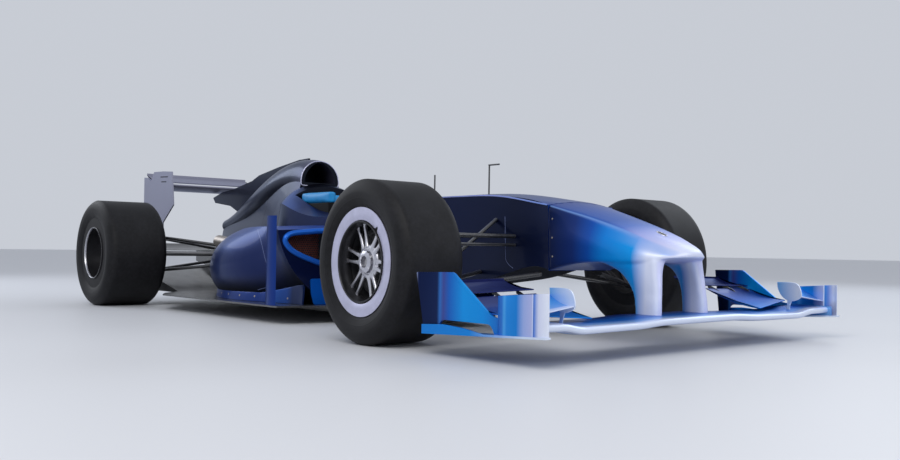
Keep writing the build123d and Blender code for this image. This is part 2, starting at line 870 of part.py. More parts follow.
def make_gearbox():
    front, back = ahead(engine_back_ahead), ahead(gearbox_back_ahead)
    casing = loft([
        box_section(front, gearbox_front_half, gearbox_front_low_z, gearbox_front_high_z),
        box_section(back, gearbox_back_half, gearbox_back_low_z, gearbox_back_high_z),
    ])
    crash = loft([
        box_section(back, gearbox_back_half, gearbox_back_low_z, gearbox_back_high_z),
        box_section(ahead(crash_back_ahead), crash_back_half, crash_back_low_z, gearbox_back_high_z),
    ])
    flange = rod((rear_axle_x, -output_flange_half, tyre_radius),
                 (rear_axle_x, output_flange_half, tyre_radius), output_flange_radius)
    return casing + crash + flange


def make_lamp():
    low = (crash_back_low_z + gearbox_back_high_z - lamp_height) / 2
    half = lamp_width / 2
    points = [(-half, low), (half, low), (half, low + lamp_height), (-half, low + lamp_height)]
    return front_profile(points, ahead(crash_back_ahead), lamp_thickness)


def exhaust_tube(radius, extra=0):
    start = (ahead(exhaust_front_ahead), exhaust_half, exhaust_front_z)
    end = (ahead(exhaust_back_ahead) - extra, exhaust_half, exhaust_back_z)
    return rod(start, end, radius)


def make_exhaust():
    return exhaust_tube(exhaust_radius) - exhaust_tube(exhaust_radius - exhaust_wall, overrun)


def make_rear_planes():
    inner = rear_plate_half - rear_plate_thickness
    main = blade((ahead(main_front_ahead), main_front_z), (ahead(main_back_ahead), main_back_z),
                 main_sag, main_thickness, -inner, 2 * inner)
    top = blade((ahead(top_front_ahead), top_front_z), (ahead(top_back_ahead), top_back_z),
                top_sag, top_thickness, -inner, 2 * inner)
    return Compound(children=[main, top])


def make_rear_plate():
    front, back = ahead(rear_plate_front_ahead), rear_axle_x - rear_overhang
    points = [
        (between(front, back, way), between(rear_plate_low_z, rear_plate_high_z, rise))
        for way, rise in rear_plate_shares
    ]
    plate = side_profile(points, rear_plate_half - rear_plate_thickness, rear_plate_thickness)
    for place in louvre_ahead:
        x = ahead(place)
        slot = [(x, louvre_low_z), (x - louvre_width, louvre_low_z), (x - 2 * louvre_width, louvre_high_z),
                (x - louvre_width, louvre_high_z)]
        plate -= side_profile(slot, rear_plate_half - rear_plate_thickness, rear_plate_thickness)
    return plate


def make_beam_wing():
    inner = rear_plate_half - rear_plate_thickness
    return blade((ahead(beam_front_ahead), beam_front_z), (ahead(beam_back_ahead), beam_back_z),
                 beam_sag, beam_thickness, -inner, 2 * inner)


def make_front_upper_arm():
    outer_z = upright_high_z + seat_gap + boss_height / 2
    outer = (front_axle_x, kingpin_half, outer_z)
    arm = rod((front_axle_x, kingpin_half, outer_z - boss_height / 2),
              (front_axle_x, kingpin_half, outer_z + boss_height / 2), boss_radius)
    for leg in (upper_front_leg_ahead, upper_rear_leg_ahead):
        arm += faired_rod(outer, (ahead(leg), arm_inner_half, upper_inner_z), arm_radius)
    return arm


def make_front_lower_arm():
    outer_z = upright_low_z - seat_gap - boss_height / 2
    outer = (front_axle_x, kingpin_half, outer_z)
    arm = rod((front_axle_x, kingpin_half, outer_z - boss_height / 2),
              (front_axle_x, kingpin_half, outer_z + boss_height / 2), boss_radius)
    for leg in (lower_front_leg_ahead, lower_rear_leg_ahead):
        arm += faired_rod(outer, (ahead(leg), arm_inner_half, lower_inner_z), arm_radius)
    push_start = (ahead(push_rod_outer_ahead / 2), push_rod_outer_half, outer_z + push_rod_radius / 2)
    push_end = (ahead(push_rod_outer_ahead), arm_inner_half, push_rod_inner_z)
    return arm + rod(push_start, push_end, push_rod_radius)


def make_front_upright():
    y = kingpin_half
    half_length, half_width = upright_length / 2, upright_width / 2
    post = plan_profile(
        [(front_axle_x - half_length, y - half_width), (front_axle_x + half_length, y - half_width),
         (front_axle_x + half_length, y + half_width), (front_axle_x - half_length, y + half_width)],
        upright_low_z, upright_high_z - upright_low_z,
    )
    axle_end = front_outer_half - front_disc_inset - hub_length + axle_bore_depth - seat_gap
    axle = rod((front_axle_x, y, tyre_radius), (front_axle_x, axle_end, tyre_radius), axle_radius)
    drum = rod((front_axle_x, drum_inner_half, tyre_radius),
               (front_axle_x, drum_inner_half + drum_width, tyre_radius), drum_radius)
    lug = plan_profile(
        [(front_axle_x, y - arm_width / 2), (ahead(steering_arm), y - arm_width / 2),
         (ahead(steering_arm), y + arm_width / 2), (front_axle_x, y + arm_width / 2)],
        arm_top_z - arm_thickness, arm_thickness,
    )
    tip = rod((ahead(steering_arm), y, arm_top_z - arm_thickness), (ahead(steering_arm), y, arm_top_z),
              arm_width / 2)
    return post + axle + drum + lug + tip


def make_rack():
    x, z = ahead(steering_arm), arm_top_z + tie_rod_rise
    rack = rod((x, -kingpin_half, z), (x, kingpin_half, z), tie_rod_radius)
    low = arm_top_z + seat_gap
    for y in (-kingpin_half, kingpin_half):
        rack += rod((x, y, low), (x, y, low + rod_end_height), rod_end_radius)
    return rack


def column_plane():
    # on the steering column's axis, facing the driver
    tilt = math.radians(wheel_tilt_deg)
    centre = (ahead(cockpit_front_ahead) - wheel_behind_front, 0, wheel_centre_z)
    return Plane(origin=centre, x_dir=(0, 1, 0), z_dir=(-math.cos(tilt), 0, math.sin(tilt)))


def make_steering_wheel():
    plane = column_plane()
    outline = plane * RectangleRounded(wheel_width, wheel_height, wheel_corner)
    for side in (-1, 1):
        hole = RectangleRounded(grip_hole_width, grip_hole_height, grip_hole_width / 2 - seat_gap)
        outline -= plane * Pos(side * grip_hole_offset, 0, 0) * hole
    wheel = extrude(outline, amount=-wheel_thickness)
    return wheel + make_column(0)


def make_column(clearance):
    # the shaft that turns in a bearing bored in the dash wall
    reach = wheel_behind_front / math.cos(math.radians(wheel_tilt_deg)) + column_bearing_depth
    return extrude(column_plane() * Circle(column_radius + clearance), amount=-reach - clearance)


def wheel_place(axle_x, outer_half):
    # a wheel is made about the z axis with its outer side at zero and its inner side below it
    return Plane(origin=(axle_x, outer_half, tyre_radius), x_dir=(1, 0, 0), z_dir=(0, 1, 0))


def make_tyre(width):
    bulge = tyre_radius - sidewall_drop
    outer_step, inner_step = -tyre_step_depth, tyre_step_depth - width
    outer_tread, inner_tread = -tyre_shoulder, tyre_shoulder - width
    outline = make_face([
        Line((bead_radius, 0, outer_step), (tyre_step_radius, 0, outer_step)),
        TangentArc((bulge, 0, 0), (tyre_step_radius, 0, outer_step), tangent=(-1, 0, 0)),
        TangentArc((bulge, 0, 0), (tyre_radius, 0, outer_tread), tangent=(1, 0, 0)),
        Line((tyre_radius, 0, outer_tread), (tyre_radius, 0, inner_tread)),
        TangentArc((bulge, 0, -width), (tyre_radius, 0, inner_tread), tangent=(1, 0, 0)),
        TangentArc((bulge, 0, -width), (tyre_step_radius, 0, inner_step), tangent=(-1, 0, 0)),
        Line((tyre_step_radius, 0, inner_step), (bead_radius, 0, inner_step)),
        Line((bead_radius, 0, inner_step), (bead_radius, 0, outer_step)),
    ])
    return revolve(outline, axis=Axis.Z)


def spoke(side, level):
    root, tip = math.radians(spoke_root_spread_deg) * side, math.radians(spoke_tip_spread_deg) * side
    tip_radius = rim_radius - rim_wall / 2
    root_point = Vector(spoke_root_radius * math.cos(root), spoke_root_radius * math.sin(root))
    tip_point = Vector(tip_radius * math.cos(tip), tip_radius * math.sin(tip))
    across = (tip_point - root_point).normalized().rotate(Axis.Z, 90)
    corners = [
        root_point - across * (spoke_root_width / 2), tip_point - across * (spoke_tip_width / 2),
        tip_point + across * (spoke_tip_width / 2), root_point + across * (spoke_root_width / 2),
    ]
    outline = make_face(Polyline(*[(c.X, c.Y, level) for c in corners], close=True))
    return extrude(outline, amount=-spoke_thickness, dir=(0, 0, 1))


def make_rim(width, disc_inset):
    wall_in, wall_out = flange_inset - width + flange_thickness, -flange_inset - flange_thickness
    inner = rim_radius - rim_wall
    outline = make_face(Polyline(
        (inner, 0, wall_in - flange_thickness), (bead_radius - seat_gap, 0, wall_in - flange_thickness),
        (bead_radius - seat_gap, 0, wall_out + flange_thickness), (inner, 0, wall_out + flange_thickness),
        close=True,
    ))
    rim = revolve(outline, axis=Axis.Z)
    top = -disc_inset
    rim += Pos(0, 0, top - hub_length) * extrude(Circle(hub_radius), amount=hub_length)
    rim += Pos(0, 0, top) * extrude(Circle(nut_radius), amount=nut_length)
    for number in range(spoke_pairs):
        turn = Rot(0, 0, 360 / spoke_pairs * number + spoke_phase_deg)
        for side in (-1, 1):
            rim += turn * spoke(side, top)
    rim -= Pos(0, 0, top + nut_length - nut_bore_depth) * extrude(Circle(nut_bore), amount=nut_bore_depth)
    rim -= Pos(0, 0, top - hub_length) * extrude(Circle(axle_radius + seat_gap), amount=axle_bore_depth)
    return rim


def make_ring():
    outline = Circle(ring_outer_radius) - Circle(ring_inner_radius)
    return Pos(0, 0, -tyre_step_depth) * extrude(outline, amount=ring_thickness)


def make_rear_upright():
    y, half_length, half_width = rear_upright_half, rear_upright_length / 2, rear_upright_width / 2
    post = plan_profile(
        [(rear_axle_x - half_length, y - half_width), (rear_axle_x + half_length, y - half_width),
         (rear_axle_x + half_length, y + half_width), (rear_axle_x - half_length, y + half_width)],
        rear_upright_low_z, rear_upright_high_z - rear_upright_low_z,
    )
    drum = rod((rear_axle_x, y + half_width, tyre_radius),
               (rear_axle_x, y + half_width + rear_drum_width, tyre_radius), drum_radius)
    bore = rod((rear_axle_x, y - half_width - overrun, tyre_radius),
               (rear_axle_x, y + half_width + rear_drum_width + overrun, tyre_radius),
               shaft_radius + shaft_clearance)
    return post + drum - bore


def make_driveshaft():
    end = rear_outer_half - rear_disc_inset - hub_length + axle_bore_depth - seat_gap
    return rod((rear_axle_x, output_flange_half + seat_gap, tyre_radius), (rear_axle_x, end, tyre_radius),
               shaft_radius)


def make_rear_arms():
    arms = []
    for foot_z, seat_z, inner_z, legs in (
        (rear_upright_high_z + boss_height, rear_upright_high_z, rear_upper_inner_z,
         (rear_upper_front_ahead, rear_upper_back_ahead)),
        (rear_upright_low_z - boss_height, rear_upright_low_z, rear_lower_inner_z,
         (rear_lower_front_ahead, rear_lower_back_ahead)),
    ):
        middle_z = (foot_z + seat_z) / 2
        arm = rod((rear_axle_x, rear_upright_half, seat_z), (rear_axle_x, rear_upright_half, foot_z),
                  boss_radius)
        for leg in legs:
            arm += faired_rod((rear_axle_x, rear_upright_half, middle_z),
                              (ahead(leg), rear_arm_inner_half, inner_z), arm_radius)
        arms.append(arm)
    return arms


def make_aerials(tub):
    base = tub_height / 2
    x = ahead(pitot_ahead)
    pitot = rod((x, 0, base), (x, 0, pitot_high_z), aerial_radius)
    pitot += rod((x - aerial_radius, 0, pitot_high_z), (x + pitot_length, 0, pitot_high_z), aerial_radius)
    x = ahead(aerial_ahead)
    aerial = rod((x, 0, base), (x, 0, aerial_high_z), aerial_radius)
    return [pitot - tub, aerial - tub]


def write(name, piece):
    export_step(piece, f"parts/{name}.step")


def write_wheels():
    sides = (("left", lambda piece: piece), ("right", mirrored))
    for end, axle_x, outer, width, inset in (
        ("front", front_axle_x, front_outer_half, front_tyre_width, front_disc_inset),
        ("rear", rear_axle_x, rear_outer_half, rear_tyre_width, rear_disc_inset),
    ):
        place = wheel_place(axle_x, outer)
        tyre, rim, ring = (place * piece for piece in (make_tyre(width), make_rim(width, inset), make_ring()))
        for side, turned in sides:
            write(f"{end}_tyre_{side}", turned(tyre))
            write(f"{end}_rim_{side}", turned(rim))
            if end == "front":
                write(f"front_wheel_ring_{side}", turned(ring))


def main():
    tub = make_tub()
    cover = make_cover_shell()
    engine = make_engine()
    gearbox = make_gearbox()
    beam = make_beam_wing()
    below = make_room_below()
    write("monocoque", tub - below - make_cockpit() - make_rack_bore() - make_column(seat_gap))
    write("seat", make_seat())
    write("headrest", make_headrest())
    plane = make_front_plane()
    write("nose_cone", make_nose() - plane)
    write("front_wing_main_plane", plane)
    write("front_wing_flaps", make_front_flaps())
    write("front_wing_endplates", both(make_front_endplate()))
    write("front_wing_fences", both(make_fence()))
    write("front_wing_cascades", both(make_cascade(plane)))
    write("floor", make_floor())
    write("plank", make_plank())
    write("diffuser", make_diffuser())
    write("bargeboards", both(make_bargeboard()))
    write("sidepod_vanes", both(make_vane()))
    pod = make_pod_shell() - tub - cover - engine - gearbox - make_inlet()
    pod -= exhaust_tube(exhaust_radius + seat_gap)
    write("sidepod_left", pod)
    write("sidepod_right", mirrored(pod))
    write("radiator_cores", both(make_radiator()))
    cover_part = cover - below - tub - engine - gearbox - make_airbox_duct()
    write("engine_cover", cover_part)
    write("engine_block", engine)
    write("gearbox_casing", gearbox - beam)
    write("rain_light", make_lamp())
    write("exhausts", both(make_exhaust() - cover))
    write("rear_wing_planes", make_rear_planes())
    write("rear_wing_endplates", both(make_rear_plate()))
    write("beam_wing", beam)
    arms = [make_front_upper_arm() - tub, make_front_lower_arm() - tub]
    write("front_suspension_arms", Compound(children=arms + [mirrored(arm) for arm in arms]))
    rear_arms = [arm - gearbox - cover for arm in make_rear_arms()]
    write("rear_suspension_arms", Compound(children=rear_arms + [mirrored(arm) for arm in rear_arms]))
    write("rear_uprights", both(make_rear_upright()))
    write("aerials", Compound(children=make_aerials(tub)))
    write("steering_wheel", make_steering_wheel())
    write("steering_rack", make_rack())
    upright, shaft = make_front_upright(), make_driveshaft()
    for side, turned in (("left", lambda piece: piece), ("right", mirrored)):
        write(f"front_upright_{side}", turned(upright))
        write(f"rear_driveshaft_{side}", turned(shaft))
    write_wheels()


main()
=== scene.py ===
import bpy
import bmesh
import json
import math
import numpy as np
from mathutils import Matrix, Vector
from mathutils.bvhtree import BVHTree


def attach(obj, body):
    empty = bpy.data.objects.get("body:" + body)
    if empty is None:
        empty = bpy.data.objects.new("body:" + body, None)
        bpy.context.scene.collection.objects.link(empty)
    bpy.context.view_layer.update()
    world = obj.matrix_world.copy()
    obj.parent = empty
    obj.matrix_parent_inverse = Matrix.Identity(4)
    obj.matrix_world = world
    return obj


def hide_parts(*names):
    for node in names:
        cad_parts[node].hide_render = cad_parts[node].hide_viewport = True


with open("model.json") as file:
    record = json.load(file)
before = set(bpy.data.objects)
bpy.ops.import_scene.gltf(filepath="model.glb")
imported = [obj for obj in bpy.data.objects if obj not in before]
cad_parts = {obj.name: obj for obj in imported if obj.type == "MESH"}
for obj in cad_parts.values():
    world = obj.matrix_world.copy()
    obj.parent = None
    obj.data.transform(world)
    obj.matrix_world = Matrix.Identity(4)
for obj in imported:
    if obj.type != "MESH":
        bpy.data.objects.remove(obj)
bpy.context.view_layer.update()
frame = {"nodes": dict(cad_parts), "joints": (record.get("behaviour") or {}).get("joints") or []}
nodes = frame["nodes"]
joints = {joint["name"]: joint for joint in frame["joints"]}
frontAxle = joints["steer_left"]["pos_m"][0]
rearAxle = joints["rear_spin_left"]["pos_m"][0]
wheelHeight = joints["rear_spin_left"]["pos_m"][2]
sides = {"left": 1, "right": -1}
tau = 2 * math.pi


# Shader maths: a Wire holds one socket, and plain expressions on wires add the nodes
class Wire:
    def __init__(self, tree, socket=None):
        self.tree, self.socket = tree, socket

    def node(self, kind, settings=None, sockets=None, out=0):
        made = self.tree.nodes.new(kind)
        for name, value in (settings or {}).items():
            if name == "stops":
                ramp = made.color_ramp
                while len(ramp.elements) < len(value):
                    ramp.elements.new(1)
                for element, (place, colour) in zip(ramp.elements, value):
                    element.position, element.color = place, (*colour, 1)
            else:
                setattr(made, name, value)
        for name, value in (sockets or {}).items():
            if isinstance(value, Wire):
                self.tree.links.new(value.socket, made.inputs[name])
            else:
                made.inputs[name].default_value = value
        return Wire(self.tree, made.outputs[out])

    def math(self, operation, *values):
        return self.node("ShaderNodeMath", {"operation": operation}, dict(enumerate(values)))

    def __add__(self, other): return self.math("ADD", self, other)
    def __radd__(self, other): return self.math("ADD", other, self)
    def __sub__(self, other): return self.math("SUBTRACT", self, other)
    def __rsub__(self, other): return self.math("SUBTRACT", other, self)
    def __mul__(self, other): return self.math("MULTIPLY", self, other)
    def __rmul__(self, other): return self.math("MULTIPLY", other, self)
    def __truediv__(self, other): return self.math("DIVIDE", self, other)

    def step(self, low, high):
        # 0 below low, 1 above high, smooth between
        return self.node("ShaderNodeMapRange", {"interpolation_type": "SMOOTHSTEP"},
                         {"Value": self, "From Min": low, "From Max": high})

    def mix(self, first, second):
        # colour first where this wire is 0, second where it is 1
        return self.node("ShaderNodeMix", {"data_type": "RGBA"},
                         {"Factor": self, 6: first, 7: second}, out=2)


def newMaterial(name):
    material = bpy.data.materials.new(name)
    material.use_nodes = True
    tree = material.node_tree
    shader = tree.nodes["Principled BSDF"]
    place = Wire(tree).node("ShaderNodeTexCoord", out="Object")
    return material, Wire(tree), shader, place


def finishShader(wire, shader, fixed, linked):
    for name, value in fixed.items():
        shader.inputs[name].default_value = value
    for name, value in linked.items():
        wire.tree.links.new(value.socket, shader.inputs[name])


def noise(place, scale, detail=3, rough=0.5):
    return place.node("ShaderNodeTexNoise", None,
                      {"Vector": place, "Scale": scale, "Detail": detail, "Roughness": rough})


def bump(height, strength, distance):
    return height.node("ShaderNodeBump", None,
                       {"Height": height, "Strength": strength, "Distance": distance})


def axisOf(place, axis):
    return place.node("ShaderNodeSeparateXYZ", None, {"Vector": place}, out=axis)


paint = {
    "pale": (0.66, 0.77, 0.92), "navy": (0.004, 0.018, 0.13), "ink": (0.002, 0.005, 0.035),
    "black": (0.004, 0.004, 0.007),
    "flakeScale": 900, "peelScale": 140, "coatRoughness": 0.06, "coat": 0.12, "specular": 0.25,
    "glossTint": (0.45, 0.60, 1.0, 1),
}


def alongRamp(wire, place, stops):
    # colour by the place along the car: stops are (metres, colour)
    first, last = stops[0][0], stops[-1][0]
    shares = [((x - first) / (last - first), colour) for x, colour in stops]
    return wire.node("ShaderNodeValToRGB", {"stops": shares},
                     {0: (axisOf(place, "X") - first) / (last - first)})


def paintMaterial(name, stops, roughness=0.30, metallic=0.5, flank=None, shoulder=None, under=False,
                  front=None):
    # flank gives other stops where the surface faces sideways, painted light and shade by facing; shoulder a
    # painted highlight line where the two meet, under a painted dull black shade where the surface faces the
    # ground, and front a colour for faces that look ahead, painted shade
    material, wire, shader, place = newMaterial(name)
    facing = wire.node("ShaderNodeNewGeometry", out="Normal")
    colour = alongRamp(wire, place, stops)
    # sideways faces take the flank stops: painted light and shade by facing
    if flank:
        aside = wire.math("ABSOLUTE", axisOf(facing, "Y")).step(0.35, 0.85)
        colour = aside.mix(colour, alongRamp(wire, place, flank))
    # pale band where the top turns into the flank: painted highlight
    if shoulder:
        line = aside * (1 - aside) * axisOf(facing, "Z").step(0.2, 0.5) * 2.4
        colour = line.mix(colour, (*shoulder, 1))
    # faces that look ahead take one colour: painted shade
    if front:
        colour = axisOf(facing, "X").step(0.80, 0.95).mix(colour, (*front, 1))
    flake = noise(place, paint["flakeScale"], 1)
    tint = flake.step(0.35, 0.75) * 0.16
    deep = wire.node("ShaderNodeMix", {"data_type": "RGBA", "blend_type": "MULTIPLY"},
                     {"Factor": tint, 6: colour, 7: (0.35, 0.42, 0.55, 1)}, out=2)
    linked = {}
    if under:
        # faces towards the ground fade to dull black: painted shade under the body
        below = 1 - axisOf(facing, "Z").step(-0.72, -0.30)
        deep = below.mix(deep, (*paint["black"], 1))
        roughness = roughness + below * 0.5
        linked = {"Coat Weight": (1 - below) * paint["coat"], "Metallic": (1 - below) * metallic}
    finishShader(wire, shader, {"Metallic": metallic, "Coat Weight": paint["coat"],
                                "Specular IOR Level": paint["specular"],
                                "Specular Tint": paint["glossTint"],
                                "Coat Roughness": paint["coatRoughness"]},
                 {"Base Color": deep, "Roughness": flake * 0.08 + roughness,
                  "Normal": bump(noise(place, paint["peelScale"], 2), 0.05, 0.0006), **linked})
    return material


carbon = {"weave": 0.0025, "light": (0.040, 0.041, 0.045), "dark": (0.010, 0.010, 0.012)}


def carbonMaterial(name, gloss=0.30, coat=0.6):
    # twill: two crossed sets of stripes, each raised where the other goes under
    material, wire, shader, place = newMaterial(name)
    period = tau / (4 * carbon["weave"])
    first = (axisOf(place, "X") + axisOf(place, "Y") * 0.5 + axisOf(place, "Z")) * period
    second = (axisOf(place, "X") - axisOf(place, "Y") * 0.5 - axisOf(place, "Z")) * period
    weave = (wire.math("SINE", first) * wire.math("SINE", second)).step(-0.25, 0.25)
    colour = weave.mix((*carbon["dark"], 1), (*carbon["light"], 1))
    dust = noise(place, 14, 4)
    finishShader(wire, shader, {"Coat Weight": coat, "Coat Roughness": 0.12},
                 {"Base Color": colour, "Roughness": gloss + weave * 0.12 + dust * 0.15,
                  "Normal": bump(weave, 0.12, 0.0003)})
    return material


def metalMaterial(name, colour, roughness=0.3, metallic=1.0, grain=320, grainDepth=0.08):
    material, wire, shader, place = newMaterial(name)
    cloud, fine = noise(place, 26, 4), noise(place, grain, 3)
    shade = cloud.mix((*[c * 0.80 for c in colour], 1), (*[min(1, c * 1.12) for c in colour], 1))
    finishShader(wire, shader, {"Metallic": metallic},
                 {"Base Color": shade, "Roughness": roughness + cloud * 0.14 + fine * 0.06,
                  "Normal": bump(fine, grainDepth, 0.0004)})
    return material


def plasticMaterial(name, colour, roughness=0.45, grain=500, coat=0.0, specular=0.3):
    material, wire, shader, place = newMaterial(name)
    cloud, fine = noise(place, 30, 3), noise(place, grain, 2)
    shade = cloud.mix((*[c * 0.82 for c in colour], 1), (*[min(1, c * 1.15) for c in colour], 1))
    finishShader(wire, shader, {"Coat Weight": coat, "Specular IOR Level": specular},
                 {"Base Color": shade, "Roughness": roughness + fine * 0.12,
                  "Normal": bump(fine, 0.10, 0.0005)})
    return material


def rubberMaterial(name, axleX):
    # sidewall rings follow the radius about the axle, and the tread has faint scuffs across it
    material, wire, shader, place = newMaterial(name)
    x, z = axisOf(place, "X") - axleX, axisOf(place, "Z") - wheelHeight
    radius = wire.math("SQRT", x * x + z * z)
    onSide = 1 - radius.step(0.300, 0.318)
    rings = wire.math("SINE", radius * (tau / 0.0045)) * onSide
    scuff, cloud = noise(place, 60, 5, 0.7), noise(place, 9, 3)
    shade = (scuff * 0.6 + cloud * 0.4).step(0.3, 0.75).mix((0.004, 0.004, 0.005, 1),
                                                            (0.015, 0.015, 0.018, 1))
    finishShader(wire, shader, {"Specular IOR Level": 0.22},
                 {"Base Color": shade, "Roughness": 0.46 + scuff * 0.22 + onSide * 0.06,
                  "Normal": bump(rings * 0.5 + scuff * 0.8, 0.20, 0.0006)})
    return material


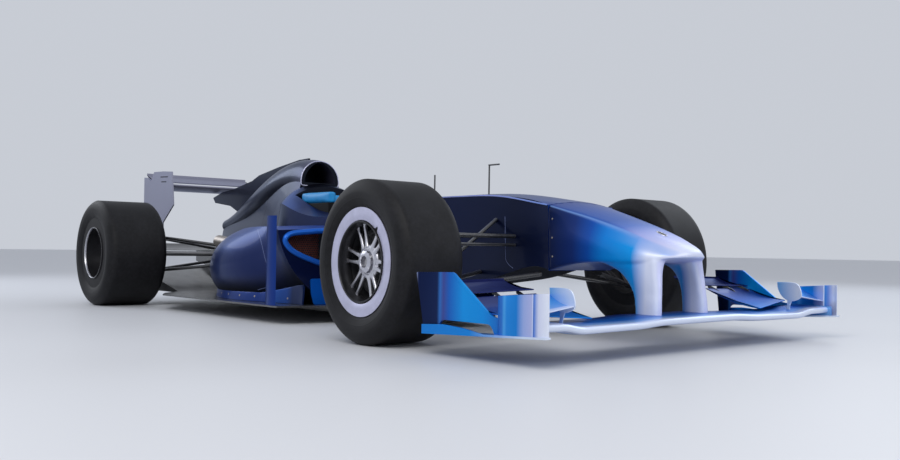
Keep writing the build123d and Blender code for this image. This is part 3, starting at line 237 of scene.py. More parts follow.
def makeMaterials():
    print("stage: materials")
    x = frontAxle
    ink, navy, pale, black = (paint[k] for k in ("ink", "navy", "pale", "black"))
    body = [(x - 2.1, black), (x - 1.84, black), (x - 1.76, (0.002, 0.008, 0.060)),
            (x - 0.9, (0.002, 0.007, 0.050)), (x + 0.1, (0.002, 0.016, 0.11)),
            (x + 0.32, (0.003, 0.035, 0.22))]
    # stops for the tub's sideways faces, darker than its top: painted shade
    bodyFlankShade = [(x - 2.1, black), (x - 1.84, black), (x - 1.76, ink), (x - 1.0, (0.003, 0.012, 0.08)),
                (x - 0.5, ink),
                (x + 0.1, (0.0015, 0.004, 0.024)), (x + 0.32, (0.002, 0.006, 0.040))]
    nose = [(x + 0.32, (0.003, 0.035, 0.22)), (x + 0.50, (0.003, 0.065, 0.34)),
            (x + 0.61, (0.012, 0.085, 0.38)),
            (x + 0.69, (0.07, 0.16, 0.52)), (x + 0.78, (0.34, 0.39, 0.74)), (x + 0.88, (0.56, 0.58, 0.84)),
            (x + 0.955, (0.70, 0.74, 0.90))]
    # stops for the nose's sideways faces, darker than the top near the chassis and brighter further forward:
    # painted light and shade
    noseFlankLightShade = [(x + 0.32, (0.002, 0.007, 0.045)), (x + 0.47, (0.006, 0.026, 0.16)),
                (x + 0.56, (0.003, 0.07, 0.38)),
                (x + 0.64, (0.001, 0.20, 0.64)), (x + 0.785, (0.001, 0.29, 0.74)),
                (x + 0.812, (0.34, 0.48, 0.82)),
                (x + 0.85, (0.72, 0.76, 0.90)), (x + 1.0, (0.76, 0.79, 0.91))]
    return {
        # tub: the shoulder colour is a painted highlight; the flank stops and the dull black underside are painted
        # shade
        "bodyPaint": paintMaterial("bodyPaint", body, flank=bodyFlankShade, shoulder=(0.10, 0.16, 0.42),
                                   under=True),
        # nose: the shoulder colour is a painted highlight and the flank stops painted light and shade
        "nosePaint": paintMaterial("nosePaint", nose, 0.32, 0.15, noseFlankLightShade, (0.20, 0.36, 0.74)),
        "planePaint": paintMaterial("planePaint", [
            (x + 0.5, ink), (x + 0.78, navy), (x + 0.93, (0.008, 0.14, 0.55)),
            (x + 0.985, (0.30, 0.52, 0.86)),
            (x + 1.005, (0.72, 0.78, 0.93)), (x + 1.05, (0.76, 0.82, 0.94))]),
        # pods: the darker flank stops, the ink front faces and the dull black underside are painted shade
        "podPaint": paintMaterial("podPaint", [
            (x - 2.8, ink), (x - 2.3, (0.004, 0.016, 0.13)), (x - 1.6, (0.006, 0.035, 0.24)),
            (x - 1.1, (0.006, 0.045, 0.30))], flank=[
            (x - 2.8, ink), (x - 1.6, (0.003, 0.010, 0.075)), (x - 1.1, (0.003, 0.012, 0.09))],
            under=True, front=ink),
        # cover: the lighter grey just behind the airbox front is a painted highlight; the near-black front faces
        # are painted shade
        "coverPaint": paintMaterial("coverPaint", [
            (x - 3.6, (0.012, 0.012, 0.020)), (x - 2.1, (0.006, 0.006, 0.012)), (x - 1.96, (0.06, 0.06, 0.095))],
            0.26, 0.3, front=(0.002, 0.002, 0.003)),
        "lilacPaint": paintMaterial("lilacPaint", [
            (x - 3.9, (0.25, 0.25, 0.31)), (x - 3.2, (0.30, 0.30, 0.38))], 0.36, 0.25),
        "lipPaint": paintMaterial("lipPaint", [
            (x - 1.4, navy), (x - 1.12, (0.010, 0.10, 0.50)), (x - 1.0, (0.02, 0.16, 0.62))]),
        "carbon": carbonMaterial("carbon"),
        "satinCarbon": carbonMaterial("satinCarbon", 0.46, 0.15),
        "alloy": metalMaterial("alloy", (0.62, 0.62, 0.67), 0.26),
        "flapPaint": paintMaterial("flapPaint", [
            (x + 0.40, (0.010, 0.014, 0.09)), (x + 0.66, (0.014, 0.022, 0.14)),
            (x + 0.76, (0.010, 0.07, 0.36)),
            (x + 0.90, (0.008, 0.20, 0.62))]),
        # endplate stops: the pale line at the rear edge and the bright bands by the crease are painted highlights,
        # the dark rear third is painted shade, and the azure middle is the plate's own colour brightened as a
        # painted reflection
        "endplatePaint": paintMaterial("endplatePaint", [
            (x + 0.38, (0.30, 0.36, 0.60)), (x + 0.388, (0.002, 0.008, 0.05)),
            (x + 0.478, (0.002, 0.012, 0.07)),
            (x + 0.492, (0.03, 0.16, 0.52)), (x + 0.512, (0.05, 0.07, 0.30)),
            (x + 0.545, (0.008, 0.12, 0.52)),
            (x + 0.63, (0.001, 0.31, 0.80)), (x + 0.74, (0.001, 0.28, 0.76)),
            (x + 0.82, (0.01, 0.16, 0.56)),
            (x + 1.05, (0.20, 0.44, 0.84))]),
        "footPaint": paintMaterial("footPaint", [
            (x + 0.42, (0.001, 0.21, 0.68)), (x + 0.70, (0.004, 0.24, 0.72)),
            (x + 0.86, (0.30, 0.48, 0.82)),
            (x + 0.98, pale), (x + 1.1, (0.74, 0.80, 0.92))]),
        # fence stops: the dark-to-pale shading across each curved lobe is painted shade, and the bright stripe
        # near x + 0.878 and the thin bright line at the fold are painted highlights
        "fencePaint": paintMaterial("fencePaint", [
            (x + 0.83, (0.004, 0.13, 0.52)), (x + 0.862, (0.006, 0.16, 0.58)),
            (x + 0.878, (0.06, 0.36, 0.78)),
            (x + 0.895, (0.008, 0.24, 0.70)), (x + 0.946, (0.01, 0.22, 0.66)),
            (x + 0.977, (0.34, 0.44, 0.78)),
            (x + 1.008, (0.46, 0.50, 0.80)), (x + 1.012, (0.78, 0.84, 0.95)),
            (x + 1.017, (0.02, 0.18, 0.60)),
            (x + 1.032, (0.16, 0.28, 0.68)), (x + 1.052, (0.70, 0.74, 0.92)),
            (x + 1.08, (0.80, 0.84, 0.95))]),
        "cascadePaint": paintMaterial("cascadePaint", [
            (x + 0.88, (0.03, 0.22, 0.62)), (x + 0.93, (0.10, 0.36, 0.76)), (x + 0.972, (0.20, 0.42, 0.80)),
            (x + 0.985, (0.74, 0.80, 0.94))]),
        "shieldPaint": paintMaterial("shieldPaint", [
            (x + 0.88, (0.12, 0.42, 0.82)), (x + 0.95, (0.56, 0.68, 0.90)), (x + 0.99, (0.76, 0.82, 0.94))]),
        "bargePaint": paintMaterial("bargePaint", [
            (x - 1.1, (0.002, 0.10, 0.44)), (x - 0.5, (0.003, 0.05, 0.30))]),
        # skirt stops: the bright band near x - 1.36 and the bright toe are painted highlights, and the dark band
        # from x - 1.22 to x - 1.11 is painted shade in the undercut below the inlet
        "skirtPaint": paintMaterial("skirtPaint", [
            (x - 2.6, navy), (x - 1.42, (0.006, 0.030, 0.19)), (x - 1.36, (0.004, 0.060, 0.30)),
            (x - 1.27, (0.003, 0.050, 0.27)), (x - 1.22, (0.002, 0.010, 0.06)), (x - 1.11, (0.002, 0.010, 0.06)),
            (x - 1.095, (0.002, 0.10, 0.46))]),
        # pale stripe colour for the shoulder lines: painted highlight
        "linePaint": paintMaterial("linePaint", [
            (x - 0.6, (0.05, 0.07, 0.24)), (x - 0.1, (0.24, 0.28, 0.60)), (x + 0.32, (0.16, 0.26, 0.64))],
            metallic=0.2),
        "vanePaint": paintMaterial("vanePaint", [
            (x - 1.24, (0.004, 0.016, 0.11)), (x - 1.15, (0.006, 0.035, 0.22)), (x - 0.6, navy)]),
        "darkMetal": metalMaterial("darkMetal", (0.030, 0.030, 0.034), 0.30, 0.6, 260, 0.10),
        "armCarbon": carbonMaterial("armCarbon", 0.26, 0.8),
        "nutMetal": metalMaterial("nutMetal", (0.60, 0.60, 0.66), 0.22, 1.0, 260, 0.12),
        "castAlloy": metalMaterial("castAlloy", (0.42, 0.42, 0.43), 0.42, 0.9, 160, 0.25),
        "ringMetal": metalMaterial("ringMetal", (0.56, 0.56, 0.72), 0.34, 0.75),
        "steel": metalMaterial("steel", (0.40, 0.36, 0.33), 0.34, 1.0, 200, 0.15),
        "darkCore": metalMaterial("darkCore", (0.10, 0.10, 0.11), 0.5, 0.6, 240, 0.3),
        "cyanPad": plasticMaterial("cyanPad", (0.012, 0.25, 0.58), 0.42, 420),
        "seatCloth": plasticMaterial("seatCloth", (0.022, 0.022, 0.026), 0.72, 900),
        "blackTrim": plasticMaterial("blackTrim", (0.012, 0.012, 0.014), 0.38, 300),
        "matBlack": plasticMaterial("matBlack", (0.004, 0.004, 0.005), 0.62, 300, 0.0, 0.12),
        "buttonRed": plasticMaterial("buttonRed", (0.50, 0.015, 0.012), 0.3),
        "buttonBlue": plasticMaterial("buttonBlue", (0.01, 0.10, 0.50), 0.3),
        "buttonYellow": plasticMaterial("buttonYellow", (0.60, 0.42, 0.02), 0.3),
        "buttonGreen": plasticMaterial("buttonGreen", (0.02, 0.32, 0.06), 0.3),
        "screenGlass": plasticMaterial("screenGlass", (0.010, 0.016, 0.030), 0.10, 90, 1.0),
        "meshMetal": metalMaterial("meshMetal", (0.46, 0.13, 0.09), 0.42, 0.6, 300, 0.1),
        # pale colour for the panel joints: the joints are real, their pale colour a painted highlight
        "seamPaint": plasticMaterial("seamPaint", (0.14, 0.18, 0.36), 0.35),
        "lampRed": plasticMaterial("lampRed", (0.50, 0.010, 0.012), 0.16, 120, 1.0),
        "frontRubber": rubberMaterial("frontRubber", frontAxle),
        "rearRubber": rubberMaterial("rearRubber", rearAxle),
    }


materials = makeMaterials()


# Meshes: a shape is a dictionary of vertices, quads, triangles and larger flat faces
def gridShape(points, wrapRows=False, wrapCols=False, capFirst=False, capLast=False):
    # points[row, column] is one vertex; neighbouring rows and columns make quads
    rows, cols = points.shape[:2]
    index = np.arange(rows * cols).reshape(rows, cols)
    down = np.roll(index, -1, 0) if wrapRows else index[1:]
    base = index if wrapRows else index[:-1]
    right = np.roll(base, -1, 1) if wrapCols else base[:, 1:]
    downRight = np.roll(down, -1, 1) if wrapCols else down[:, 1:]
    left, downLeft = (base, down) if wrapCols else (base[:, :-1], down[:, :-1])
    quads = np.stack([left, right, downRight, downLeft], -1).reshape(-1, 4)
    verts, tris = [points.reshape(-1, 3)], [np.zeros((0, 3), int)]
    for wanted, row in ((capFirst, 0), (capLast, rows - 1)):
        if wanted:
            centre = sum(len(v) for v in verts)
            verts.append(points[row].mean(0)[None])
            ring = index[row]
            tris.append(np.stack([ring, np.roll(ring, -1), np.full(cols, centre)], -1))
    return {"verts": np.concatenate(verts), "quads": quads, "tris": np.concatenate(tris), "plates": []}


def loftShape(rings):
    # closed rings joined one to the next, with both ends capped
    return gridShape(rings, wrapCols=True, capFirst=True, capLast=True)


def joinShapes(shapes):
    offset, made = 0, {"verts": [], "quads": [], "tris": [], "plates": []}
    for shape in shapes:
        made["verts"].append(shape["verts"])
        for kind in ("quads", "tris"):
            made[kind].append(shape[kind] + offset)
        made["plates"] += [[i + offset for i in plate] for plate in shape["plates"]]
        offset += len(shape["verts"])
    return {**made, **{kind: np.concatenate(made[kind]) for kind in ("verts", "quads", "tris")}}


def mirrorShape(shape):
    return {**shape, "verts": shape["verts"] * (1, -1, 1)}


def bothSides(*shapes):
    return joinShapes([*shapes, *map(mirrorShape, shapes)])


def cleaned(mesh, merge=1e-6):
    work = bmesh.new()
    work.from_mesh(mesh)
    bmesh.ops.remove_doubles(work, verts=work.verts, dist=merge)
    bmesh.ops.recalc_face_normals(work, faces=work.faces)
    work.to_mesh(mesh)
    work.free()


def addPiece(name, shape, material, body, replaced=(), sharp=35, bevel=0.0, subdivide=0):
    mesh = bpy.data.meshes.new(name)
    mesh.from_pydata(shape["verts"], [], shape["quads"].tolist() + shape["tris"].tolist() + shape["plates"])
    cleaned(mesh)
    mesh.shade_smooth()
    mesh.set_sharp_from_angle(angle=math.radians(sharp))
    mesh.materials.append(materials[material])
    piece = bpy.data.objects.new(name, mesh)
    bpy.context.scene.collection.objects.link(piece)
    if bevel:
        made = piece.modifiers.new("edge", "BEVEL")
        made.width, made.segments, made.limit_method, made.angle_limit = bevel, 2, "ANGLE", math.radians(40)
    if subdivide:
        made = piece.modifiers.new("smooth", "SUBSURF")
        made.levels = made.render_levels = subdivide
    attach(piece, body)
    if replaced:
        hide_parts(*replaced)
    return piece


def revolved(profile, segments=96, swell=None):
    # closed profile of (radius, height) turned about its own z axis; swell scales the radius by angle
    angles = np.linspace(0, tau, segments, endpoint=False)
    profile = np.asarray(profile, float)
    radius = profile[:, None, 0] * (np.ones(segments) if swell is None else swell(angles, profile[:, None,
                                                                                                  1]))
    points = np.stack([radius * np.cos(angles), radius * np.sin(angles),
                       np.broadcast_to(profile[:, None, 1], radius.shape)], -1)
    return gridShape(points, wrapRows=True, wrapCols=True)


def wheelPlaced(shape, axleX, outerHalf, side):
    # the shape's z axis becomes the axle, with z = 0 on the wheel's outer face
    x, y, z = shape["verts"].T
    return {**shape, "verts": np.stack([axleX + x, side * (outerHalf + z), wheelHeight + y], -1)}


def roundOff(points, radius, count=6):
    # closed outline whose corners become quadratic curves that start at the given distance from them
    points = np.asarray(points, float)
    reach = np.broadcast_to(radius, len(points))[:, None]
    before, after = np.roll(points, 1, 0) - points, np.roll(points, -1, 0) - points
    first, last = (v * np.minimum(reach / np.linalg.norm(v, axis=1, keepdims=True),
                                  0.48) for v in (before, after))
    t = np.linspace(0, 1, count)[None, :, None]
    corner, first, last = points[:, None], first[:, None], last[:, None]
    return (corner + (1 - t) ** 2 * first + t ** 2 * last).reshape(-1, 2)


def smoothPath(points, count=40):
    # Catmull-Rom curve through the points
    points = np.asarray(points, float)
    padded = np.concatenate([[2 * points[0] - points[1]], points, [2 * points[-1] - points[-2]]])
    place = np.linspace(0, len(points) - 1, count)
    part = np.minimum(place.astype(int), len(points) - 2)
    t = (place - part)[:, None]
    a, b, c, d = (padded[part + k] for k in range(4))
    return 0.5 * (2 * b + (c - a) * t + (2 * a - 5 * b + 4 * c - d) * t ** 2 + (3 * b - a - 3 * c + d) * t ** 3)


def plateShape(outline, low, high, axes=(0, 2, 1)):
    # flat plate: outline in the first two axes, from low to high along the third
    outline, count = np.asarray(outline, float), len(outline)
    verts = np.zeros((2 * count, 3))
    verts[:, axes[0]] = np.tile(outline[:, 0], 2)
    verts[:, axes[1]] = np.tile(outline[:, 1], 2)
    verts[:count, axes[2]], verts[count:, axes[2]] = low, high
    ring = np.arange(count)
    quads = np.stack([ring, np.roll(ring, -1), np.roll(ring, -1) + count, ring + count], -1)
    return {"verts": verts, "quads": quads, "tris": np.zeros((0, 3), int),
            "plates": [ring.tolist(), (ring + count).tolist()]}


def bentPlate(outline, low, high, cuts, bend):
    # plate in the side view, cut across at places along x, then moved sideways by bend(x, z)
    shape = plateShape(outline, low, high)
    mesh = bpy.data.meshes.new("bent")
    mesh.from_pydata(shape["verts"], [], shape["quads"].tolist() + shape["plates"])
    work = bmesh.new()
    work.from_mesh(mesh)
    bmesh.ops.triangulate(work, faces=work.faces)
    for cut in cuts:
        bmesh.ops.bisect_plane(work, geom=work.verts[:] + work.edges[:] + work.faces[:],
                               plane_co=(cut, 0, 0), plane_no=(1, 0, 0), dist=1e-5)
    work.to_mesh(mesh)
    work.free()
    verts = np.zeros(len(mesh.vertices) * 3)
    mesh.vertices.foreach_get("co", verts)
    verts = verts.reshape(-1, 3)
    verts[:, 1] += bend(verts[:, 0], verts[:, 2])
    plates = [list(face.vertices) for face in mesh.polygons]
    bpy.data.meshes.remove(mesh)
    return {"verts": verts, "quads": np.zeros((0, 4), int), "tris": np.zeros((0, 3), int), "plates": plates}


def chordProfile(nose=0.0, edge=0.0015, thickness=0.0, sag=0.0, upperBow=0.0, lowerBow=0.0, count=18):
    # closed section, rows are (share of the chord, extra ahead, extra height): a nose arc of the given
    # radius, then two faces that bow by a parabola, with a sine-shaped thickness on top of it
    turn = np.linspace(-math.pi / 2, math.pi / 2, 11)
    t = (1 - np.cos(np.linspace(0, math.pi, count))) / 2
    parabola, body = 4 * t * (1 - t), thickness / 2 * np.sin(math.pi * t ** 0.7)
    arc = np.stack([turn * 0, nose * (np.cos(turn) - 1), nose * np.sin(turn)], -1)
    upper = np.stack([t, -nose * (1 - t),
                      nose * (1 - t) + edge / 2 * t + body + (upperBow - sag) * parabola], -1)
    lower = np.stack([t, -nose * (1 - t),
                      -nose * (1 - t) - edge / 2 * t - body - (lowerBow + sag) * parabola], -1)
    return np.concatenate([arc[:-1], upper, lower[::-1][:-1]])


def spanShape(stations, profile, steps=96, soften=0):
    # section carried across the car: stations are across, then ahead and height of both edges
    stations = np.asarray(stations, float)
    across = np.linspace(stations[0, 0], stations[-1, 0], steps)
    values = [np.interp(across, stations[:, 0], column) for column in stations[:, 1:].T]
    if soften:
        kernel = np.ones(2 * soften + 1) / (2 * soften + 1)
        values = [np.convolve(np.pad(v, soften, "edge"), kernel, "valid") for v in values]
    leadX, leadZ, trailX, trailZ = (v[:, None] for v in values)
    share, extraX, extraZ = profile.T
    points = np.stack([
        frontAxle + leadX * (1 - share) + trailX * share + extraX,
        np.broadcast_to(across[:, None], (steps, len(profile))),
        leadZ * (1 - share) + trailZ * share + extraZ,
    ], -1)
    return loftShape(points)


def armShape(start, end, section, along=(1, 0, 0), steps=28, count=24):
    # straight strut: round at the start, then swelling over a short length into a streamlined section
    start, end, along = (np.asarray(v, float) for v in (start, end, along))
    radius, chord, thickness, change = section
    axis = (end - start) / np.linalg.norm(end - start)
    along = along - axis * np.dot(along, axis)
    along /= np.linalg.norm(along)
    across = np.cross(axis, along)
    turn = np.linspace(0, tau, count, endpoint=False)
    share = np.linspace(0, 1, steps)
    swell = np.clip((share - change + 0.06) / 0.12, 0, 1)[:, None]
    swell = swell * swell * (3 - 2 * swell)
    half = radius * (1 - swell) + chord / 2 * swell
    high = (radius * (1 - swell) + thickness / 2 * swell) * (1 + 0.30 * np.cos(turn) * swell)
    points = (start + (end - start) * share[:, None, None] + along * (np.cos(turn) * half)[..., None]
              + across * (np.sin(turn) * high)[..., None])
    return loftShape(points)


def bossShape(centre, radius, height, axis=(0, 0, 1), edge=0.15, count=32, rows=None):
    # round boss from its centre along the axis, rims softened; rows may give its own (radius, height) profile
    axis = np.asarray(axis, float) / np.linalg.norm(axis)
    first = np.cross(axis, (0, 1, 0) if abs(axis[1]) < 0.9 else (1, 0, 0))
    first /= np.linalg.norm(first)
    second = np.cross(axis, first)
    soft = min(edge * radius, height / 3)
    rows = rows or [(radius, 0), (radius, height - soft), (radius - soft, height)]
    turn = np.linspace(0, tau, count, endpoint=False)
    ring = np.cos(turn)[:, None] * first + np.sin(turn)[:, None] * second
    r, h = np.asarray(rows, float).T[:, :, None, None]
    return loftShape(np.asarray(centre) + axis * h + r * ring)


def tubeShape(path, radius, count=12, up=(0, 0, 1), flat=1.0):
    # round or flattened tube along a path; up may be one direction or one for each point
    path = np.asarray(path, float)
    tangent = np.gradient(path, axis=0)
    tangent /= np.linalg.norm(tangent, axis=1, keepdims=True)
    across = np.cross(tangent, np.broadcast_to(up, path.shape))
    across /= np.linalg.norm(across, axis=1, keepdims=True)
    over = np.cross(across, tangent)
    turn = np.linspace(0, tau, count, endpoint=False)[:, None]
    size = np.broadcast_to(radius, len(path))[:, None, None]
    points = path[:, None] + size * (across[:, None] * np.cos(turn) + over[:, None] * np.sin(turn) * flat)
    return loftShape(points)


surfaces = {}


def onSurface(node, starts, direction):
    # where straight rays meet a CAD node: the places and the directions that its surface faces there
    if node not in surfaces:
        mesh = (nodes.get(node) or bpy.data.objects[node]).data
        mesh.calc_loop_triangles()
        surfaces[node] = BVHTree.FromPolygons([v.co for v in mesh.vertices],
                                              [t.vertices for t in mesh.loop_triangles])
    hits = [surfaces[node].ray_cast(Vector(start), Vector(direction)) for start in starts]
    met = [hit for hit in hits if hit[0] is not None]
    places, facing = (np.array([list(hit[k]) for hit in met]) for k in (0, 1))
    facing *= np.where(facing @ np.asarray(direction, float) > 0, -1, 1)[:, None]
    return places, facing


def seamShape(node, starts, direction, width=0.0028):
    # panel joint: a flat bead that lies on the surface below the starts; drawn pale it is a painted highlight on
    # the joint, drawn dark it is the joint itself
    places, facing = onSurface(node, starts, direction)
    return tubeShape(places, width / 2, 8, facing, 0.32)


def studShape(node, starts, direction, radius=0.006, height=0.0012):
    # quarter-turn fasteners: low round heads with a softened rim
    places, facing = onSurface(node, starts, direction)
    return joinShapes([bossShape(place - n * 0.001, radius, height + 0.001, n, 0.3, 14)
                       for place, n in zip(places, facing)])


# Tyres: a profile of radius and depth turned about the axle
tyre = {
    "radius": 0.330, "bead": 0.163, "step": 0.219, "stepDepth": 0.017, "shoulder": 0.034,
    "sidewallDrop": 0.060, "frontWidth": 0.293, "rearWidth": 0.350, "frontHalf": 0.919,
    "rearHalf": 0.897, "segments": 160, "ribs": (0.230, 0.252, 0.290), "ribHeight": 0.0007,
}


def tyreProfile(width):
    # outer half: bead step, bulging sidewall with low ribs and a shoulder arc; the inner half mirrors it
    r, bulge = tyre["radius"], tyre["radius"] - tyre["sidewallDrop"]
    t = np.linspace(0, 1, 15)[1:, None]
    drop, shoulder = tyre["sidewallDrop"], tyre["shoulder"]
    arc = (drop ** 2 + shoulder ** 2) / (2 * shoulder)
    reach = math.asin(drop / arc) * t
    wall = np.linspace(0, 1, 40)[:, None]
    radius = tyre["step"] + (bulge - tyre["step"]) * wall
    ribs = sum(np.exp(-((radius - rib) / 0.0014) ** 2) for rib in tyre["ribs"]) * tyre["ribHeight"]
    half = np.concatenate([
        [(tyre["bead"], -tyre["stepDepth"]), (tyre["step"] - 0.004, -tyre["stepDepth"])],
        np.concatenate([radius, ribs - tyre["stepDepth"] * (1 - wall) ** 2 - tyre["ribHeight"]], 1),
        np.concatenate([bulge + arc * np.sin(reach), -arc + arc * np.cos(reach)], 1),
    ])
    tread = np.linspace(-shoulder, shoulder - width, 14)[1:-1]
    return np.concatenate([half, np.stack([tread * 0 + r, tread], -1), half[::-1] * (1, -1) - (0, width)])


def makeTyres():
    print("stage: tyres")
    for end, axleX, half, width in (("front", frontAxle, tyre["frontHalf"], tyre["frontWidth"]),
                                    ("rear", rearAxle, tyre["rearHalf"], tyre["rearWidth"])):
        shape = revolved(tyreProfile(width), tyre["segments"])
        for name, side in sides.items():
            addPiece(f"{end}Tyre.{name}", wheelPlaced(shape, axleX, half, side), f"{end}Rubber",
                     f"{end}_wheel_{name}", [f"{end}_tyre_{name}"], sharp=50)


# Wheels: barrel, six pairs of spokes, hub, nut, and on the front wheels the outer ring
wheel = {
    "outer": 0.1627, "inner": 0.1557, "well": 0.1515, "lip": 0.012, "pairs": 6, "phaseDeg": -10,
    "rootRadius": 0.060, "rootSpreadDeg": 13, "tipSpreadDeg": 9, "rootWidth": 0.019, "tipWidth": 0.012,
    "depth": 0.016, "hub": 0.070, "hubLength": 0.036, "nut": 0.046, "nutLength": 0.016, "bore": 0.024,
    "ringInner": 0.166, "ringOuter": 0.217, "ringBack": 0.0168, "ringFront": 0.0138, "notchDeg": 48,
    "frontInset": 0.046, "rearInset": 0.128, "valveRadius": 0.1530,
}


def barrelShape(width, inset):
    # closed loop of radius and height: lip, dish, spoke seat, well and inner lip
    outer, inner, well, lip = (wheel[k] for k in ("outer", "inner", "well", "lip"))
    seat = inset + wheel["depth"] / 2
    profile = [
        (outer, -lip), (outer - 0.0015, -lip + 0.0015), (inner + 0.002, -lip + 0.0015),
        (inner, -lip - 0.001),
        (inner - 0.0006, -lip - 0.007), (inner, -lip - 0.012), (inner, -seat + 0.016),
        (inner - 0.003, -seat + 0.010),
        (inner - 0.003, -seat - 0.010), (inner, -seat - 0.016), (well, -seat - 0.030),
        (well, -width + 0.060),
        (inner, -width + 0.040), (inner, -width + lip + 0.004), (inner + 0.002, -width + lip),
        (outer, -width + lip),
    ]
    return revolved(profile, 128)


def lipShape():
    # bright machined edge just inside the barrel's mouth
    inner, lip = wheel["inner"], wheel["lip"]
    return revolved([
        (inner + 0.0065, -lip - 0.001), (inner + 0.0055, -lip + 0.0012), (inner + 0.001, -lip + 0.0012),
        (inner - 0.0010, -lip - 0.002), (inner - 0.0012, -lip - 0.010), (inner + 0.0015, -lip - 0.011),
    ], 128)


def spokeShape(number, side, inset):
    # softened box carried from the hub to the rim: width tapers outwards and flares at both ends
    root, tip = (math.radians(wheel[k]) * side for k in ("rootSpreadDeg", "tipSpreadDeg"))
    turn = math.radians(360 / wheel["pairs"] * number + wheel["phaseDeg"])
    ends = [r * np.array([math.cos(a + turn), math.sin(a + turn)])
            for r, a in ((wheel["rootRadius"], root), (wheel["inner"] - 0.0005, tip))]
    line = (ends[1] - ends[0]) / np.linalg.norm(ends[1] - ends[0])
    aside = np.array([-line[1], line[0]])
    t = np.linspace(0, 1, 15)[:, None]
    half = (wheel["rootWidth"] * (1 - t) + wheel["tipWidth"] * t) / 2
    half = half + 0.005 * np.exp(-t / 0.07) + 0.006 * np.exp(-(1 - t) / 0.06)
    front = -inset - 0.0025 * np.sin(math.pi * t) + 0.001
    deep = wheel["depth"] * (1 - 0.25 * t)
    box = roundOff([(-1, 0), (-0.72, 1), (0.72, 1), (1, 0), (0.8, -1), (-0.8, -1)], 0.35, 3)
    flat = ends[0] + (ends[1] - ends[0]) * t
    shape = np.zeros((15, len(box), 3))
    shape[..., :2] = flat[:, None] + (half * box[:, 0])[..., None] * aside
    shape[..., 2] = front - deep / 2 + deep / 2 * box[:, 1]
    return loftShape(shape)


def hubShape(inset):
    hub, inner = wheel["hub"], wheel["bore"] + 0.006
    top, back = -inset, -inset - wheel["hubLength"]
    return revolved([
        (inner, top), (hub - 0.022, top), (hub - 0.018, top - 0.003), (hub - 0.008, top - 0.003),
        (hub - 0.003, top - 0.006), (hub, top - 0.011), (hub, back + 0.004), (hub - 0.004, back),
        (inner, back),
    ], 96)


def nutShape(inset):
    # twelve shallow castellations round a bored nut
    nut, bore, top = wheel["nut"], wheel["bore"], -inset + wheel["nutLength"]
    notched = lambda angle, height: 1 - 0.055 * (np.cos(12 * angle) > 0.35) * (height > -inset + 0.004)
    return revolved([
        (bore, top - 0.002), (bore + 0.002, top), (nut - 0.012, top), (nut - 0.006, top - 0.003),
        (nut - 0.001, top - 0.005), (nut, top - 0.008), (nut, -inset + 0.003),
        (nut + 0.001, -inset - 0.001),
        (bore, -inset - 0.004),
    ], 192, lambda angle, height: np.where(height < 1, notched(angle, height), 1))


def ringShape():
    # flat ring with softened rims; the inner radius steps outwards at the valve by a narrow bell curve
    notch = math.radians(wheel["notchDeg"])
    angles = np.linspace(0, tau, 240, endpoint=False)
    away = (angles - notch + math.pi) % tau - math.pi
    inner = wheel["ringInner"] + 0.017 * np.exp(-(away / 0.05) ** 4)
    back, front, outer = -wheel["ringBack"], -wheel["ringFront"], wheel["ringOuter"]
    rows = [(0, back), (0, front - 0.0008), (0.0012, front), (0.5, front + 0.0008), (1, front), (1, back)]
    radius = np.array([inner + (outer - inner) * (share if share in (0, 0.5, 1) else 0) +
                       (share if share == 0.0012 else 0) for share, height in rows])
    height = np.broadcast_to(np.array([h for s, h in rows])[:, None], radius.shape)
    return gridShape(np.stack([radius * np.cos(angles), radius * np.sin(angles), height], -1),
                     wrapRows=True, wrapCols=True)


def makeWheels():
    print("stage: wheels")
    for end, axleX, half, width, inset in (
        ("front", frontAxle, tyre["frontHalf"], tyre["frontWidth"], wheel["frontInset"]),
        ("rear", rearAxle, tyre["rearHalf"], tyre["rearWidth"], wheel["rearInset"]),
    ):
        spokes = [spokeShape(n, side, inset) for n in range(wheel["pairs"]) for side in (-1, 1)]
        rim = joinShapes([hubShape(inset), *spokes] + [lipShape()] * (end == "rear"))
        barrel = barrelShape(width, inset)
        nut = nutShape(inset)
        cap = bossShape((0, 0, -inset - 0.0045), wheel["bore"] + 0.001, 0.006, rows=[
            (wheel["bore"] + 0.001, 0), (wheel["bore"] - 0.003, 0.001), (0.013, 0.002), (0.012, 0.008),
            (0.004, 0.009)])
        notch, reach = math.radians(wheel["notchDeg"]), wheel["valveRadius"]
        valve = bossShape((math.cos(notch) * reach, math.sin(notch) * reach, -0.040), 0.0035, 0.020,
                          count=14)
        for name, side in sides.items():
            body = f"{end}_wheel_{name}"
            place = lambda shape: wheelPlaced(shape, axleX, half, side)
            addPiece(f"{end}Rim.{name}", place(rim), "alloy", body, [f"{end}_rim_{name}"],
                     32)
            addPiece(f"{end}Barrel.{name}", place(barrel), "darkMetal", body, sharp=32)
            addPiece(f"{end}Nut.{name}", place(nut), "nutMetal", body, sharp=30)
            addPiece(f"{end}AxleCap.{name}", place(cap), "castAlloy", body)
            addPiece(f"{end}Valve.{name}", place(valve), "blackTrim", body)
            if end == "front":
                addPiece(f"frontRing.{name}", place(ringShape()), "ringMetal", body,
                         [f"front_wheel_ring_{name}"], 40)


# Brake drums: a vented carbon face in front of each CAD drum
drum = {"radius": 0.139, "frontFace": 0.824, "holes": 28, "holeRadius": 0.0045}


